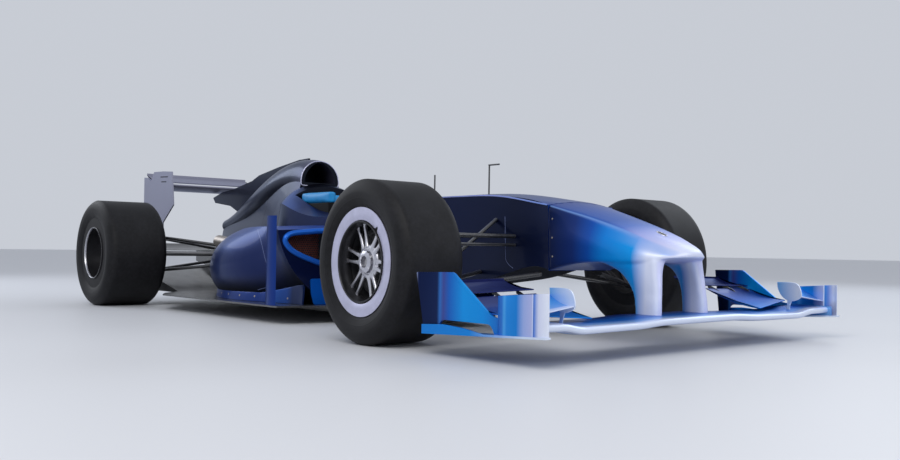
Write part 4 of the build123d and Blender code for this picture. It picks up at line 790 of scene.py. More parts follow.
def makeBrakes():
    print("stage: brakes")
    for name, side in sides.items():
        face, r = drum["frontFace"] - tyre["frontHalf"], drum["radius"]
        plate = revolved([
            (0.024, face - 0.001), (r, face - 0.001), (r, face + 0.004), (r - 0.004, face + 0.006),
            (r - 0.016, face + 0.006),
            (r - 0.020, face + 0.003), (0.094, face + 0.003), (0.090, face + 0.006), (0.060, face + 0.006),
            (0.054, face + 0.002), (0.024, face + 0.002),
        ], 96)
        # vent holes drawn as black discs on the face: painted shade in place of openings
        turn = np.arange(drum["holes"]) * tau / drum["holes"]
        holes = joinShapes([bossShape((rr * math.cos(a + shift), rr * math.sin(a + shift), face + 0.0024),
                                      drum["holeRadius"], 0.001, count=12)
                            for rr, shift in ((0.101, 0), (0.112, tau / drum["holes"] / 2)) for a in turn])
        addPiece(f"brakeFace.{name}", wheelPlaced(plate, frontAxle, tyre["frontHalf"], side), "satinCarbon",
                 f"knuckle_{name}", sharp=30)
        addPiece(f"brakeHoles.{name}", wheelPlaced(holes, frontAxle, tyre["frontHalf"], side), "blackTrim",
                 f"knuckle_{name}")


# Suspension: places are (ahead of the front axle, across, height); a section is round radius,
# streamlined chord and thickness, and the share of the length where one becomes the other
suspension = {
    "arm": (0.0095, 0.050, 0.019, 0.24), "pushRod": (0.009, 0.030, 0.014, 0.10),
    "link": (0.007, 0.040, 0.014, 0.12),
    "bossRadius": 0.017, "bossHeight": 0.030, "nutRadius": 0.010, "nutLow": 0.0002, "nutHigh": 0.004,
    "frontJoints": ((0, 0.70, 0.4473), (0, 0.70, 0.2027)),
    "frontLegs": (((0.085, 0.175, 0.447), (-0.205, 0.175, 0.447)),
                  ((0.25, 0.175, 0.285), (-0.165, 0.175, 0.285))),
    "pushRodEnds": ((-0.015, 0.64, 0.2067), (-0.030, 0.175, 0.540)),
    "rearJoints": ((-3.16, 0.61, 0.453), (-3.16, 0.61, 0.207)),
    "rearLegs": (((-2.70, 0.06, 0.360), (-3.23, 0.06, 0.360)),
                 ((-2.70, 0.06, 0.285), (-3.26, 0.06, 0.285))),
    "trackRod": ((0.10, 0.665, 0.408), (0.10, 0.235, 0.408)), "rodRadius": 0.007, "rodHalf": 0.70,
    "rodEnd": (0.3993, 0.014, 0.017),  # foot, radius and height of the boss on the rod's end
}


def placed(point):
    return (frontAxle + point[0], point[1], point[2])


def wishboneShapes(joints, legs):
    made = []
    for joint, ends in zip(joints, legs):
        x, y, z = placed(joint)
        half = suspension["bossHeight"] / 2
        made.append(bossShape((x, y, z - half), suspension["bossRadius"], 2 * half, edge=0.2))
        made.append(bossShape((x, y, z - half - suspension["nutLow"]), suspension["nutRadius"],
                              2 * half + suspension["nutHigh"], count=6))
        made += [armShape((x, y, z), placed(end), suspension["arm"]) for end in ends]
    return made


def makeSuspension():
    print("stage: suspension")
    front = wishboneShapes(suspension["frontJoints"], suspension["frontLegs"])
    front.append(armShape(*map(placed, suspension["pushRodEnds"]), suspension["pushRod"]))
    addPiece("frontArms", bothSides(*front), "armCarbon", "root", ["front_suspension_arms"], 40)
    rear = wishboneShapes(suspension["rearJoints"], suspension["rearLegs"])
    addPiece("rearArms", bothSides(*rear), "armCarbon", "root", ["rear_suspension_arms"], 40)
    outer, inner = map(placed, suspension["trackRod"])
    half, (foot, radius, height) = suspension["rodHalf"], suspension["rodEnd"]
    bar = tubeShape([(outer[0], -half, outer[2]), (outer[0], half, outer[2])], suspension["rodRadius"], 16)
    ends = bossShape((outer[0], half, foot), radius, height, edge=0.25)
    addPiece("trackRods", joinShapes([bar, bothSides(ends, armShape(outer, inner, suspension["link"]))]),
             "armCarbon", "rack", ["steering_rack"], 40)


# Front wing: stations are (across, leading edge ahead and height, trailing edge ahead and height)
frontWing = {
    "plane": [(0, 1.020, 0.1256, 0.7497, 0.1368), (0.234, 1.020, 0.1256, 0.7497, 0.1368),
              (0.364, 1.020, 0.1170, 0.7650, 0.1307), (0.684, 1.0302, 0.1155, 0.7905, 0.1307),
              (0.736, 1.0353, 0.1307, 0.7956, 0.1414), (0.866, 1.0455, 0.1338, 0.8058, 0.1429)],
    "flaps": [[(0.520, 0.915, 0.146, 0.610, 0.222), (0.866, 0.816, 0.167, 0.610, 0.213)],
              [(0.520, 0.600, 0.237, 0.420, 0.2675), (0.866, 0.600, 0.228, 0.420, 0.260)]],
    "gurney": 0.007, "brackets": (0.585, 0.700, 0.815), "bracketHalf": 0.0015,
    "bracket": [(0.650, 0.202), (0.575, 0.222), (0.572, 0.236), (0.600, 0.229), (0.640, 0.211)],
    "plate": {
        "outline": [(0.4156, 0.085), (0.477, 0.0873), (0.499, 0.132), (0.7812, 0.132), (0.8027, 0.0994),
                    (1.060, 0.1082), (1.060, 0.1507), (0.856, 0.1519), (0.788, 0.1578), (0.567, 0.304),
                    (0.380, 0.3005)],
        "rounding": [0.002, 0.002, 0.020, 0.020, 0.002, 0.002, 0.010, 0.030, 0.030, 0.012, 0.006],
        "inner": 0.866, "outer": 0.874, "crease": 0.500, "flare": 0.025, "back": 0.380,
    },
    "foot": {"back": 0.418, "tip": 1.085, "outer": 0.900, "inner": 0.840, "tipInner": 0.874, "taper": 0.950,
             "backTop": 0.085, "tipTop": 0.110, "thickness": 0.007, "lipThickness": 0.007,
             "lip": [(0.418, 0.112), (0.545, 0.119), (0.660, 0.113), (0.800, 0.096), (0.83, 0.0905),
                     (1.085, 0.05)]},
    "fence": {"lobes": [[(0.830, 0.882), (0.920, 0.900), (1.012, 0.887)],
                        [(1.012, 0.887), (1.050, 0.898), (1.082, 0.884)]],
              "thickness": 0.005, "backTop": 0.232, "frontTop": 0.249},
    "cascade": {"inner": 0.6975, "lead": 1.005, "trail": 0.884, "leadZ": (0.198, 0.172),
                "trailZ": (0.236, 0.226),
                "sag": 0.012, "thickness": 0.005, "seat": 0.001},
    # inner and outer half width of the shield and of the stalk, and then their outlines
    "shieldHalf": (0.695, 0.700), "stalkHalf": (0.6957, 0.6993),
    "shield": [(0.884, 0.258), (0.926, 0.2590), (0.970, 0.258), (0.993, 0.250), (1.006, 0.232),
               (1.013, 0.200),
               (1.000, 0.186), (0.982, 0.178), (0.960, 0.174), (0.932, 0.180), (0.905, 0.200),
               (0.888, 0.230)],
    "stalk": [(0.941, 0.200), (0.975, 0.200), (0.960, 0.170), (0.952, 0.148), (0.951, 0.126),
              (0.931, 0.126),
              (0.936, 0.148), (0.938, 0.170)],
}


def footTop(place):
    # height of the sloping footplate's upper face
    foot = frontWing["foot"]
    return np.interp(place, (foot["back"], foot["tip"]), (foot["backTop"], foot["tipTop"]))


def fenceHalf(place):
    # half width of the fence's outer face: a parabola through the three points of each lobe
    made = np.zeros_like(place)
    for lobe in frontWing["fence"]["lobes"]:
        (a, ya), (b, yb), (c, yc) = lobe
        curve = (ya * (place - b) * (place - c) / ((a - b) * (a - c))
                 + yb * (place - a) * (place - c) / ((b - a) * (b - c))
                 + yc * (place - a) * (place - b) / ((c - a) * (c - b)))
        made = np.where((place >= a - 1e-9) & (place <= c + 1e-9), curve, made)
    return made


def footShape():
    foot = frontWing["foot"]
    place = np.unique(np.concatenate([np.linspace(foot["back"], foot["tip"], 60), [foot["taper"]]]))
    inner = np.interp(place, (foot["taper"], foot["tip"]), (foot["inner"], foot["tipInner"]))
    top = footTop(place)
    lip = np.maximum(np.interp(place, *np.array(foot["lip"]).T), top + 0.0002)
    outer, wall = foot["outer"] + place * 0, foot["lipThickness"]
    ring = [(inner, top - foot["thickness"]), (outer, top - foot["thickness"]), (outer, lip),
            (outer - wall, lip),
            (outer - wall, top + 0.0001), (inner, top)]
    points = np.stack([np.stack([frontAxle + place, y + place * 0, z + place * 0], -1) for y, z in ring], 1)
    return loftShape(points)


def fenceShape():
    fence = frontWing["fence"]
    (first, _), (joint, _), (last, _) = fence["lobes"][0][0], fence["lobes"][1][0], fence["lobes"][1][2]
    place = np.concatenate([np.linspace(first, joint, 40), np.linspace(joint, last, 20)[1:]])
    outer = fenceHalf(place)
    low, high = footTop(place), np.interp(place, (first, last), (fence["backTop"], fence["frontTop"]))
    rise = roundOff([(0, 0), (0, 1), (1, 1), (1, 0)], [0.001, 0.49, 0.49, 0.001], 5)
    soft = np.clip(rise[:, 1], 0, 1)
    points = np.stack([np.stack([
        frontAxle + place, outer - fence["thickness"] * across,
        low + (high - low) * np.where(up > 0.4, 1, 0)
        - fence["thickness"] / 2 * (1 - up) * (up > 0.4)], -1) for across, up in zip(rise[:, 0], soft)], 1)
    return loftShape(points)


def cascadeShape():
    # a bowed blade whose outer end follows the fence's inner face, its shield and its stalk
    blade = frontWing["cascade"]
    profile = chordProfile(0.0018, 0.0015, blade["thickness"] - 0.0015, blade["sag"])
    share, extraX, extraZ = profile.T
    place = blade["lead"] * (1 - share) + blade["trail"] * share + extraX
    lobes = frontWing["fence"]["lobes"]
    end = fenceHalf(np.clip(place, lobes[0][0][0],
                            lobes[1][2][0])) - frontWing["fence"]["thickness"] + blade["seat"]
    t = np.linspace(0, 1, 24)[:, None]
    lead, trail = (blade[k][0] * (1 - t) + blade[k][1] * t for k in ("leadZ", "trailZ"))
    points = np.stack([np.broadcast_to(frontAxle + place, (24, len(place))),
                       blade["inner"] + (end - blade["inner"]) * t,
                       lead * (1 - share) + trail * share + extraZ], -1)
    surface = loftShape(points)
    outlines = [smoothPath(frontWing[k] + frontWing[k][:1], 60)[:-1] + (frontAxle, 0) for k in ("shield",
                                                                                                "stalk")]
    return (surface, plateShape(outlines[0], *frontWing["shieldHalf"]),
            plateShape(outlines[1], *frontWing["stalkHalf"]))


def makeFrontWing():
    print("stage: front wing")
    stations = [(-y, *rest) for y, *rest in frontWing["plane"][:0:-1]] + frontWing["plane"]
    profile = chordProfile(0.013, 0.003, 0, 0, 0.0028, 0.0128)
    addPiece("frontWingPlane", spanShape(stations, profile, 241, 5), "planePaint", "root",
             ["front_wing_main_plane"], 40)
    blade = chordProfile(0.0022, 0.0016, 0.0028, 0.012)
    flaps = [spanShape(ends, blade, 40) for ends in frontWing["flaps"]]
    trail = np.array(frontWing["flaps"][1])
    lip = np.array([[(frontAxle + x + dx, y, z + dz) for dx, dz in ((0, -0.001), (0.0012, -0.001),
                    (0.0012, frontWing["gurney"]), (0, frontWing["gurney"]))] for y, _, _, x, z in trail])
    outline, half = np.array(frontWing["bracket"]) + (frontAxle, 0), frontWing["bracketHalf"]
    brackets = [plateShape(outline, y - half, y + half) for y in frontWing["brackets"]]
    addPiece("frontWingFlaps", bothSides(*flaps, loftShape(lip)),
             "flapPaint", "root", ["front_wing_flaps"], 40)
    addPiece("flapBrackets", bothSides(*brackets), "carbon", "root", bevel=0.0004)
    plate = frontWing["plate"]
    outline = roundOff(plate["outline"], plate["rounding"], 6) + (frontAxle, 0)
    crease, back = frontAxle + plate["crease"], frontAxle + plate["back"]
    flare = lambda x, z: plate["flare"] * np.clip((crease - x) / (crease - back), 0, 1) ** 1.6
    sheet = bentPlate(outline, plate["inner"], plate["outer"], np.linspace(back, crease, 13), flare)
    addPiece("frontEndplates", bothSides(sheet), "endplatePaint", "root",
             ["front_wing_endplates"], 28, bevel=0.0012)
    addPiece("footplates", bothSides(footShape()), "footPaint", "root", sharp=30,
             bevel=0.001)
    addPiece("fences", bothSides(fenceShape()), "fencePaint", "root", ["front_wing_fences"],
             30)
    surface, shield, stalk = cascadeShape()
    addPiece("cascades", bothSides(surface), "cascadePaint", "root", ["front_wing_cascades"],
             40)
    addPiece("cascadeShields", bothSides(shield, stalk), "shieldPaint", "root", sharp=30,
             bevel=0.0012)


# Nose: sections from the chassis joint to the tip, and the two pylons that flow into it
nose = {
    # ahead, low half width and height, middle half width and height, shoulder half width and height, centre height
    "sections": [(0.320, 0.190, 0.300, 0.197, 0.440, 0.200, 0.580, 0.600),
                 (0.400, 0.194, 0.318, 0.199, 0.450, 0.186, 0.560, 0.579),
                 (0.500, 0.196, 0.334, 0.198, 0.440, 0.164, 0.535, 0.552),
                 (0.600, 0.197, 0.340, 0.196, 0.425, 0.149, 0.508, 0.523),
                 (0.700, 0.195, 0.340, 0.190, 0.405, 0.137, 0.478, 0.493),
                 (0.780, 0.185, 0.341, 0.180, 0.392, 0.129, 0.451, 0.464),
                 (0.820, 0.175, 0.343, 0.170, 0.386, 0.119, 0.437, 0.449),
                 (0.860, 0.157, 0.349, 0.153, 0.381, 0.105, 0.423, 0.434),
                 (0.900, 0.137, 0.356, 0.131, 0.377, 0.091, 0.408, 0.418),
                 (0.922, 0.116, 0.360, 0.111, 0.374, 0.080, 0.400, 0.408),
                 (0.941, 0.088, 0.363, 0.085, 0.372, 0.064, 0.393, 0.400),
                 (0.954, 0.054, 0.365, 0.053, 0.371, 0.042, 0.387, 0.392),
                 (0.960, 0.020, 0.366, 0.020, 0.370, 0.016, 0.383, 0.386)],
    "corners": (0.012, 0.030, 0.022), "rows": 90,
    # height; tail, thickest place and front length ahead; tail and front across; outer and inner half thickness
    "pylon": [(0.124, 0.783, 0.885, 0.030, 0.145, 0.145, 0.023, 0.023),
              (0.187, 0.779, 0.882, 0.030, 0.146, 0.142, 0.023, 0.023),
              (0.220, 0.772, 0.879, 0.030, 0.149, 0.138, 0.023, 0.023),
              (0.250, 0.759, 0.876, 0.030, 0.154, 0.135, 0.025, 0.024),
              (0.280, 0.739, 0.872, 0.030, 0.161, 0.131, 0.028, 0.025),
              (0.307, 0.709, 0.868, 0.031, 0.169, 0.127, 0.031, 0.026),
              (0.327, 0.668, 0.864, 0.034, 0.179, 0.122, 0.035, 0.028),
              (0.345, 0.612, 0.860, 0.038, 0.183, 0.118, 0.038, 0.036),
              (0.370, 0.550, 0.856, 0.042, 0.184, 0.112, 0.038, 0.058)],
    "voxel": 0.0046, "smoothing": 12, "hatch": 0.789, "hatchSize": (0.030, 0.015),
}


def noseShape():
    # polygon of each section with softened corners, carried forward through the stations
    rows = smoothPath(nose["sections"], nose["rows"])
    low, middle, edge = nose["corners"]
    share = np.linspace(-1, 1, 9)[1:-1]
    made = []
    for a, lowHalf, lowZ, half, z, edgeHalf, edgeZ, crown in rows:
        top = [(-edgeHalf * t, crown + (edgeZ - crown) * t * t) for t in share]
        side = [(lowHalf, lowZ), (half, z), (edgeHalf, edgeZ)]
        outline = [*side, *top, *[(-y, z) for y, z in side[::-1]]]
        made.append(roundOff(outline, [low, middle, edge] + [0.012] * 7 + [edge, middle, low], 5))
    made = np.array(made)
    ahead = np.broadcast_to(frontAxle + rows[:, :1, None], (*made.shape[:2], 1))
    return loftShape(np.concatenate([ahead, made], -1))


def pylonShape():
    # teardrop sections: half an ellipse in front, then both faces close towards the tail by a power of 2.5
    z, tail, thick, front, tailY, frontY, outer, inner = smoothPath(nose["pylon"], 60).T[:, :, None]
    turn = np.linspace(-math.pi / 2, math.pi / 2, 15)[None]
    t = np.linspace(0, 1, 20)[None, 1:]
    closing = 1 - 0.94 * t ** 2.5
    x = np.concatenate([thick + front * np.cos(turn), thick + (tail - thick) * t,
                        (thick + (tail - thick) * t)[:, ::-1]], 1)
    middle = frontY + (tailY - frontY) * np.concatenate([turn * 0, t, t[:, ::-1]], 1)
    width = np.concatenate([np.where(turn < 0, inner, outer) * np.sin(turn), outer * closing,
                            -inner * closing[:, ::-1]], 1)
    points = np.stack([frontAxle + x, middle + width, np.broadcast_to(z, x.shape)], -1)
    return loftShape(points)


def settle(piece, modifiers):
    # applies modifiers to the piece's own mesh: rows are (kind, settings)
    for kind, settings in modifiers:
        made = piece.modifiers.new(kind.lower(), kind)
        for key, value in settings.items():
            setattr(made, key, value)
    mesh = bpy.data.meshes.new_from_object(piece.evaluated_get(bpy.context.evaluated_depsgraph_get()))
    piece.modifiers.clear()
    old, piece.data = piece.data, mesh
    mesh.name = piece.name
    bpy.data.meshes.remove(old)
    mesh.shade_smooth()
    return piece


def makeNose():
    print("stage: nose")
    piece = addPiece("noseCone", joinShapes([noseShape(), bothSides(pylonShape())]), "nosePaint", "root",
                     ["nose_cone"])
    settle(piece, [("REMESH", {"mode": "VOXEL", "voxel_size": nose["voxel"]}),
                   ("SMOOTH", {"factor": 0.5, "iterations": nose["smoothing"]})])
    # small oval hole with a pale rim on top of the nose; the hole is a black disc, painted shade in place of an
    # opening
    (centre,), (n,) = onSurface("noseCone", [(frontAxle + nose["hatch"], 0, 1)], (0, 0, -1))
    turn = np.linspace(0, tau, 40, endpoint=False)[:, None]
    along = np.cross((0, 1, 0), n)
    ring = np.cos(turn) * along * nose["hatchSize"][0] + np.sin(turn) * np.array((0, 1, 0)) * nose["hatchSize"][1]
    rim = np.stack([centre + ring * share + n * high for share, high in
                    ((1.0, -0.002), (1.0, 0.0012), (0.9, 0.0024), (0.78, 0.0012), (0.78, -0.002))])
    addPiece("noseRim", gridShape(rim, wrapRows=True, wrapCols=True), "alloy", "root",
             sharp=60)
    hole = np.stack([centre + ring * 0.8 + n * high for high in (-0.002, 0.0012)])
    addPiece("noseHole", loftShape(hole), "blackTrim", "root")


# Rear wing: heights and places as on the front wing, measured from the front axle
rearWing = {
    "span": 0.3585, "main": (-3.322, 0.796, -3.588, 0.812), "mainSag": 0.034, "mainThickness": 0.020,
    "top": (-3.572, 0.832, -3.752, 0.880), "topSag": 0.016, "topThickness": 0.009, "gurney": 0.014,
    # sheet that closes the endplates' short slots: back and front ahead, low and high, and the
    # inner and outer half width
    "slotFill": (-3.440, -3.310, 0.815, 0.884, 0.3581, 0.3659),
    # louvres on the endplates' outer faces, drawn as black patches that paint the shade of their openings: back
    # and front ahead, height, slope, and height of the dark patch
    "louvres": [(-3.486, -3.358, 0.853, -0.004, 0.006), (-3.470, -3.384, 0.819, -0.003, 0.006)],
    "plateOuter": 0.366,
}


def makeRearWing():
    print("stage: rear wing")
    planes = []
    for name, nose in (("main", 0.006), ("top", 0.003)):
        profile = chordProfile(nose, 0.002, rearWing[f"{name}Thickness"] - nose, rearWing[f"{name}Sag"])
        planes.append(spanShape([(-rearWing["span"], *rearWing[name]), (rearWing["span"], *rearWing[name])],
                                profile, 40))
    _, _, x, z = rearWing["top"]
    x, high, span = frontAxle + x, rearWing["gurney"], rearWing["span"]
    lip = np.array([[(x + dx, y, z + dz) for dx,
                     dz in ((0, -0.002), (0.0015, -0.002), (0.0015, high), (0, high))]
                    for y in (-span, span)])
    planes.append(loftShape(lip))
    addPiece("rearWingPlanes", joinShapes(planes), "lilacPaint", "root",
             ["rear_wing_planes"], 40)
    back, front, low, high, inner, outer = rearWing["slotFill"]
    sheet = plateShape(np.array([(back, low), (front, low), (front, high), (back, high)]) + (frontAxle, 0),
                       inner, outer)
    addPiece("rearSlotFills", bothSides(sheet), "lilacPaint", "root")
    outer = rearWing["plateOuter"]
    # black patches just proud of the outer faces: painted shade where the louvre openings are
    slots = [plateShape(roundOff([(back, z), (front, z + slope), (front + 0.004, z + slope + tall),
                                  (back + 0.004, z + tall)], 0.002, 3)
                        + (frontAxle, 0), outer - 0.001, outer + 0.0006) for back, front, z, slope,
                        tall in rearWing["louvres"]]
    addPiece("rearPlateLouvres", bothSides(*slots), "matBlack", "root")


# Trim: places are (ahead of the front axle, across, height)
trim = {
    # shoulder: path of the pale stripe that is a painted highlight along the tub's and nose's shoulders
    "shoulder": [(0.315, 0.2, 0.581), (0, 0.205, 0.627), (-0.301, 0.210, 0.634), (-0.649, 0.230, 0.629)],
    "mouth": [(0.342, 0.285), (0.469, 0.305), (0.578, 0.345), (0.632, 0.375), (0.663, 0.419),
              (0.633, 0.4525),
              (0.469, 0.468), (0.342, 0.470)],
    "mouthAhead": -1.100, "lipRadius": 0.0145, "coreAhead": -1.314, "coreShare": 0.91, "cell": 0.0125,
    "cellWall": 0.0017, "cellDepth": 0.003,
    "tubSeam": 0.036, "tubSeamHeights": (0.305, 0.535), "tubSeamFoot": 0.045,
    "podSeam": [(-1.475, 0.475), (-1.405, 0.430), (-1.365, 0.380), (-1.344, 0.306), (-1.347, 0.230),
                                  (-1.390, 0.182), (-1.507, 0.155)],
    "coverSeam": -2.42, "coverSeamHeights": (0.45, 0.80), "podStuds": (-1.26, -2.40, 0.120, 9),
    # ahead and top height of the skirt below the pod, then its toe on the pod's front face
    "skirt": [(-1.112, 0.196), (-1.18, 0.190), (-1.36, 0.160), (-1.50, 0.142), (-2.45, 0.132)],
    "skirtLow": 0.0945,
    "toe": [(0.40, 0.0945), (0.502, 0.0945), (0.517, 0.150), (0.523, 0.226), (0.44, 0.226)],
    "toeAhead": (-1.1005, -1.094), "airboxAhead": -1.9655, "airboxRadius": 0.0032,
    # half width and height of the airbox's outer edge, from the bottom up
    "airbox": [(0, 0.757), (0.122, 0.757), (0.1245, 0.786), (0.1165, 0.830), (0.0960, 0.8652),
               (0.0700, 0.8888), (0.0422, 0.9034),
               (0, 0.9105)],
    "noseStuds": (0.345, (0.36, 0.44, 0.52)), "meshStart": (0.33, 0.27), "meshRows": 60, "meshInset": 0.965,
}


def insidePolygon(points, corners):
    # even-odd rule for many points at once
    x, y = points.T[:, :, None]
    ax, ay = corners.T[:, None]
    bx, by = np.roll(corners, -1, 0).T[:, None]
    crosses = ((ay > y) != (by > y)) & (x < ax + (y - ay) * (bx - ax) / (by - ay + 1e-12))
    return crosses.sum(1) % 2 == 1


def honeycombShape(corners, ahead):
    # hexagonal rings laid in staggered rows where their centres fall inside the duct
    cell = trim["cell"]
    row, col = np.indices((trim["meshRows"], trim["meshRows"]))
    y, z = trim["meshStart"]
    centres = np.stack([y + cell * (col + 0.5 * (row % 2)), z + cell * row * math.sqrt(3) / 2],
                       -1).reshape(-1, 2)
    middle = corners.mean(0)
    centres = centres[insidePolygon(centres, middle + (corners - middle) * trim["meshInset"])]
    turn = np.arange(6) * tau / 6 + tau / 12
    outer, inner = cell / math.sqrt(3), cell / math.sqrt(3) - trim["cellWall"]
    ring = np.array([(r, h) for r, h in ((outer, 0), (outer, 1), (inner, 1), (inner, 0))])
    y = centres[:, None, None, 0] + ring[None, :, None, 0] * np.cos(turn)
    z = centres[:, None, None, 1] + ring[None, :, None, 0] * np.sin(turn)
    x = np.broadcast_to(frontAxle + ahead + ring[None, :, None, 1] * trim["cellDepth"], y.shape)
    one = gridShape(np.zeros((4, 6, 3)), wrapRows=True, wrapCols=True)["quads"]
    quads = (one[None] + 24 * np.arange(len(centres))[:, None, None]).reshape(-1, 4)
    return {"verts": np.stack([x, y, z], -1).reshape(-1, 3), "quads": quads, "tris": np.zeros((0, 3), int),
            "plates": []}


def makeTrim():
    print("stage: trim")
    # pale flattened tubes along both shoulders of the tub and nose: painted highlight
    line = smoothPath(trim["shoulder"], 60) + (frontAxle, 0, 0)
    addPiece("shoulderLines", bothSides(tubeShape(line, 0.0042, 10, (0, 0.7, 0.7), 0.5)), "linePaint",
             "root")
    mouth = np.array(trim["mouth"])
    outline = roundOff(mouth + (mouth - mouth.mean(0)) * 0.02, 0.045, 8)
    outline = np.concatenate([outline, outline[:1]])
    path = np.column_stack([np.full(len(outline), frontAxle + trim["mouthAhead"] - 0.002), outline])
    addPiece("inletLips", bothSides(tubeShape(path, trim["lipRadius"], 16, (1, 0, 0))), "lipPaint", "root")
    middle = mouth.mean(0)
    comb = honeycombShape(middle + (mouth - middle) * trim["coreShare"], trim["coreAhead"])
    addPiece("inletMesh", bothSides(comb), "meshMetal", "root")
    # pale beads on the tub's and pods' panel joints: real joints, painted highlights
    (low, high), foot = trim["tubSeamHeights"], trim["tubSeamFoot"]
    z = np.linspace(low, high, 40)
    x = frontAxle + trim["tubSeam"] + 0.05 * np.clip((low + foot - z) / foot, 0, 1) ** 2
    seam = seamShape("monocoque", np.stack([x, z * 0 + 1, z], -1), (0, -1, 0))
    addPiece("tubSeams", bothSides(seam), "seamPaint", "root")
    x, z = smoothPath(trim["podSeam"], 60).T
    seam = seamShape("sidepod_left", np.stack([frontAxle + x, x * 0 + 1, z], -1), (0, -1, 0), 0.0034)
    addPiece("podSeams", bothSides(seam), "seamPaint", "root")
    x = np.linspace(*(trim["skirt"][k][0] for k in (0, -1)), 70)
    top = np.interp(-x, *(np.array(trim["skirt"]) * (-1, 1)).T)
    places, facing = onSurface("sidepod_left", np.stack([frontAxle + x, x * 0 + 1, top], -1), (0, -1, 0))
    out, low = places[:, 1], trim["skirtLow"]
    ring = [(-0.008, top - 0.002), (0.0015, top), (0.004, top - 0.006), (0.009, top * 0 + low),
            (0.001, top * 0 + low)]
    skirt = loftShape(np.stack([np.stack([frontAxle + x, out + y, z], -1) for y, z in ring], 1))
    toe = plateShape(roundOff(trim["toe"], 0.012, 4), *(frontAxle + x for x in trim["toeAhead"]), (1, 2, 0))
    addPiece("podSkirts", bothSides(skirt, toe), "skirtPaint", "root", sharp=40)
    first, last, z, count = trim["podStuds"]
    starts = [(frontAxle + x, 1, z) for x in np.linspace(first, last, count)]
    addPiece("podStuds", bothSides(studShape("podSkirts", starts, (0, -1, 0), 0.0055)), "steel", "root")
    half = trim["airbox"]
    rim = roundOff(half + [(-y, z) for y, z in half[-2:0:-1]], 0.014, 6)
    path = np.column_stack([np.full(len(rim) + 1, frontAxle + trim["airboxAhead"]),
                            np.concatenate([rim, rim[:1]])])
    addPiece("airboxRim", tubeShape(path, trim["airboxRadius"], 10, (1, 0, 0)), "ringMetal", "root")
    z = np.linspace(*trim["coverSeamHeights"], 40)
    cover = seamShape("engine_cover", np.stack([z * 0 + frontAxle + trim["coverSeam"], z * 0 + 1, z], -1),
                      (0, -1, 0))
    addPiece("coverSeams", bothSides(cover), "blackTrim", "root")
    x, heights = trim["noseStuds"]
    studs = studShape("noseCone", [(frontAxle + x, 1, z) for z in heights], (0, -1, 0), 0.0045)
    addPiece("noseStuds", bothSides(studs), "steel", "root")


# Cockpit: headrest, seat and steering wheel
cockpit = {
    "restHalf": 0.179, "restBack": -1.823, "restFront": -1.495, "restCorner": 0.055, "padLow": 0.634,
    "padHigh": 0.701,
    "padThick": 0.062, "baseLow": 0.478, "padCap": 0.006, "padVoxel": 0.005, "seatVoxel": 0.0062,
    "seatShrink": (0.985, 0.93, 0.985), "seatCap": 0.004,
    "wheel": (-1.06, 0, 0.560), "tiltDeg": 22, "wheelThick": 0.028,
    # across, up, radius, material
    "buttons": [(-0.052, 0.050, 0.0065, "buttonRed"), (0.052, 0.050, 0.0065, "buttonBlue"),
                (-0.046, 0.024, 0.0055, "buttonYellow"),
                (0.046, 0.024, 0.0055, "buttonGreen"), (-0.050, -0.045, 0.0085, "blackTrim"),
                (0.050, -0.045, 0.0085, "blackTrim"),
                (-0.024, -0.052, 0.0085, "blackTrim"), (0.024, -0.052, 0.0085, "blackTrim"),
                (0, -0.030, 0.0055, "buttonRed")],
    "screen": (0.056, 0.028, 0.018),
}


def padUp(piece, voxel, cap):
    # cloth under pressure swells the remeshed pad; no point moves further than the cap
    settle(piece, [("REMESH", {"mode": "VOXEL", "voxel_size": voxel}),
                   ("SMOOTH", {"factor": 0.5, "iterations": 4})])
    scene = bpy.context.scene
    before = np.zeros(len(piece.data.vertices) * 3)
    piece.data.vertices.foreach_get("co", before)
    cloth = piece.modifiers.new("cloth", "CLOTH")
    cloth.settings.use_pressure, cloth.settings.uniform_pressure_force = True, 4
    cloth.settings.effector_weights.gravity = 0
    for step in range(1, 21):
        scene.frame_set(step)
    moved = piece.evaluated_get(bpy.context.evaluated_depsgraph_get()).data
    after = np.zeros_like(before)
    moved.vertices.foreach_get("co", after)
    piece.modifiers.clear()
    scene.frame_set(1)
    before, after = before.reshape(-1, 3), after.reshape(-1, 3)
    move = after - before
    length = np.linalg.norm(move, axis=1, keepdims=True)
    placed = before + move * np.minimum(1, cap / np.maximum(length, 1e-9))
    piece.data.vertices.foreach_set("co", placed.reshape(-1))
    piece.data.update()
    made = piece.modifiers.new("smooth", "SUBSURF")
    made.levels = made.render_levels = 1


def restPath():
    # U of the headrest in plan, its two back corners rounded
    half, back, front = (cockpit[k] for k in ("restHalf", "restBack", "restFront"))
    ends, corner = 0.0001, cockpit["restCorner"]
    path = roundOff([(front, -half), (back, -half), (back, half), (front, half)],
                    [ends, corner, corner, ends], 10)
    return path + (frontAxle, 0)


def restShape(low, high, thick, soften):
    # rounded box section carried round the U behind and beside the head
    path = restPath()
    tangent = np.gradient(path, axis=0)
    keep = np.linalg.norm(tangent, axis=1) > 1e-5
    path, tangent = path[keep], tangent[keep]
    tangent /= np.linalg.norm(tangent, axis=1, keepdims=True)
    aside = np.stack([-tangent[:, 1], tangent[:, 0]], -1)
    box = roundOff([(-thick / 2, low), (thick / 2, low), (thick / 2, high), (-thick / 2, high)], soften, 5)
    points = np.zeros((len(path), len(box), 3))
    points[..., :2] = path[:, None] + aside[:, None] * box[None, :, :1]
    points[..., 2] = box[None, :, 1]
    return loftShape(points)


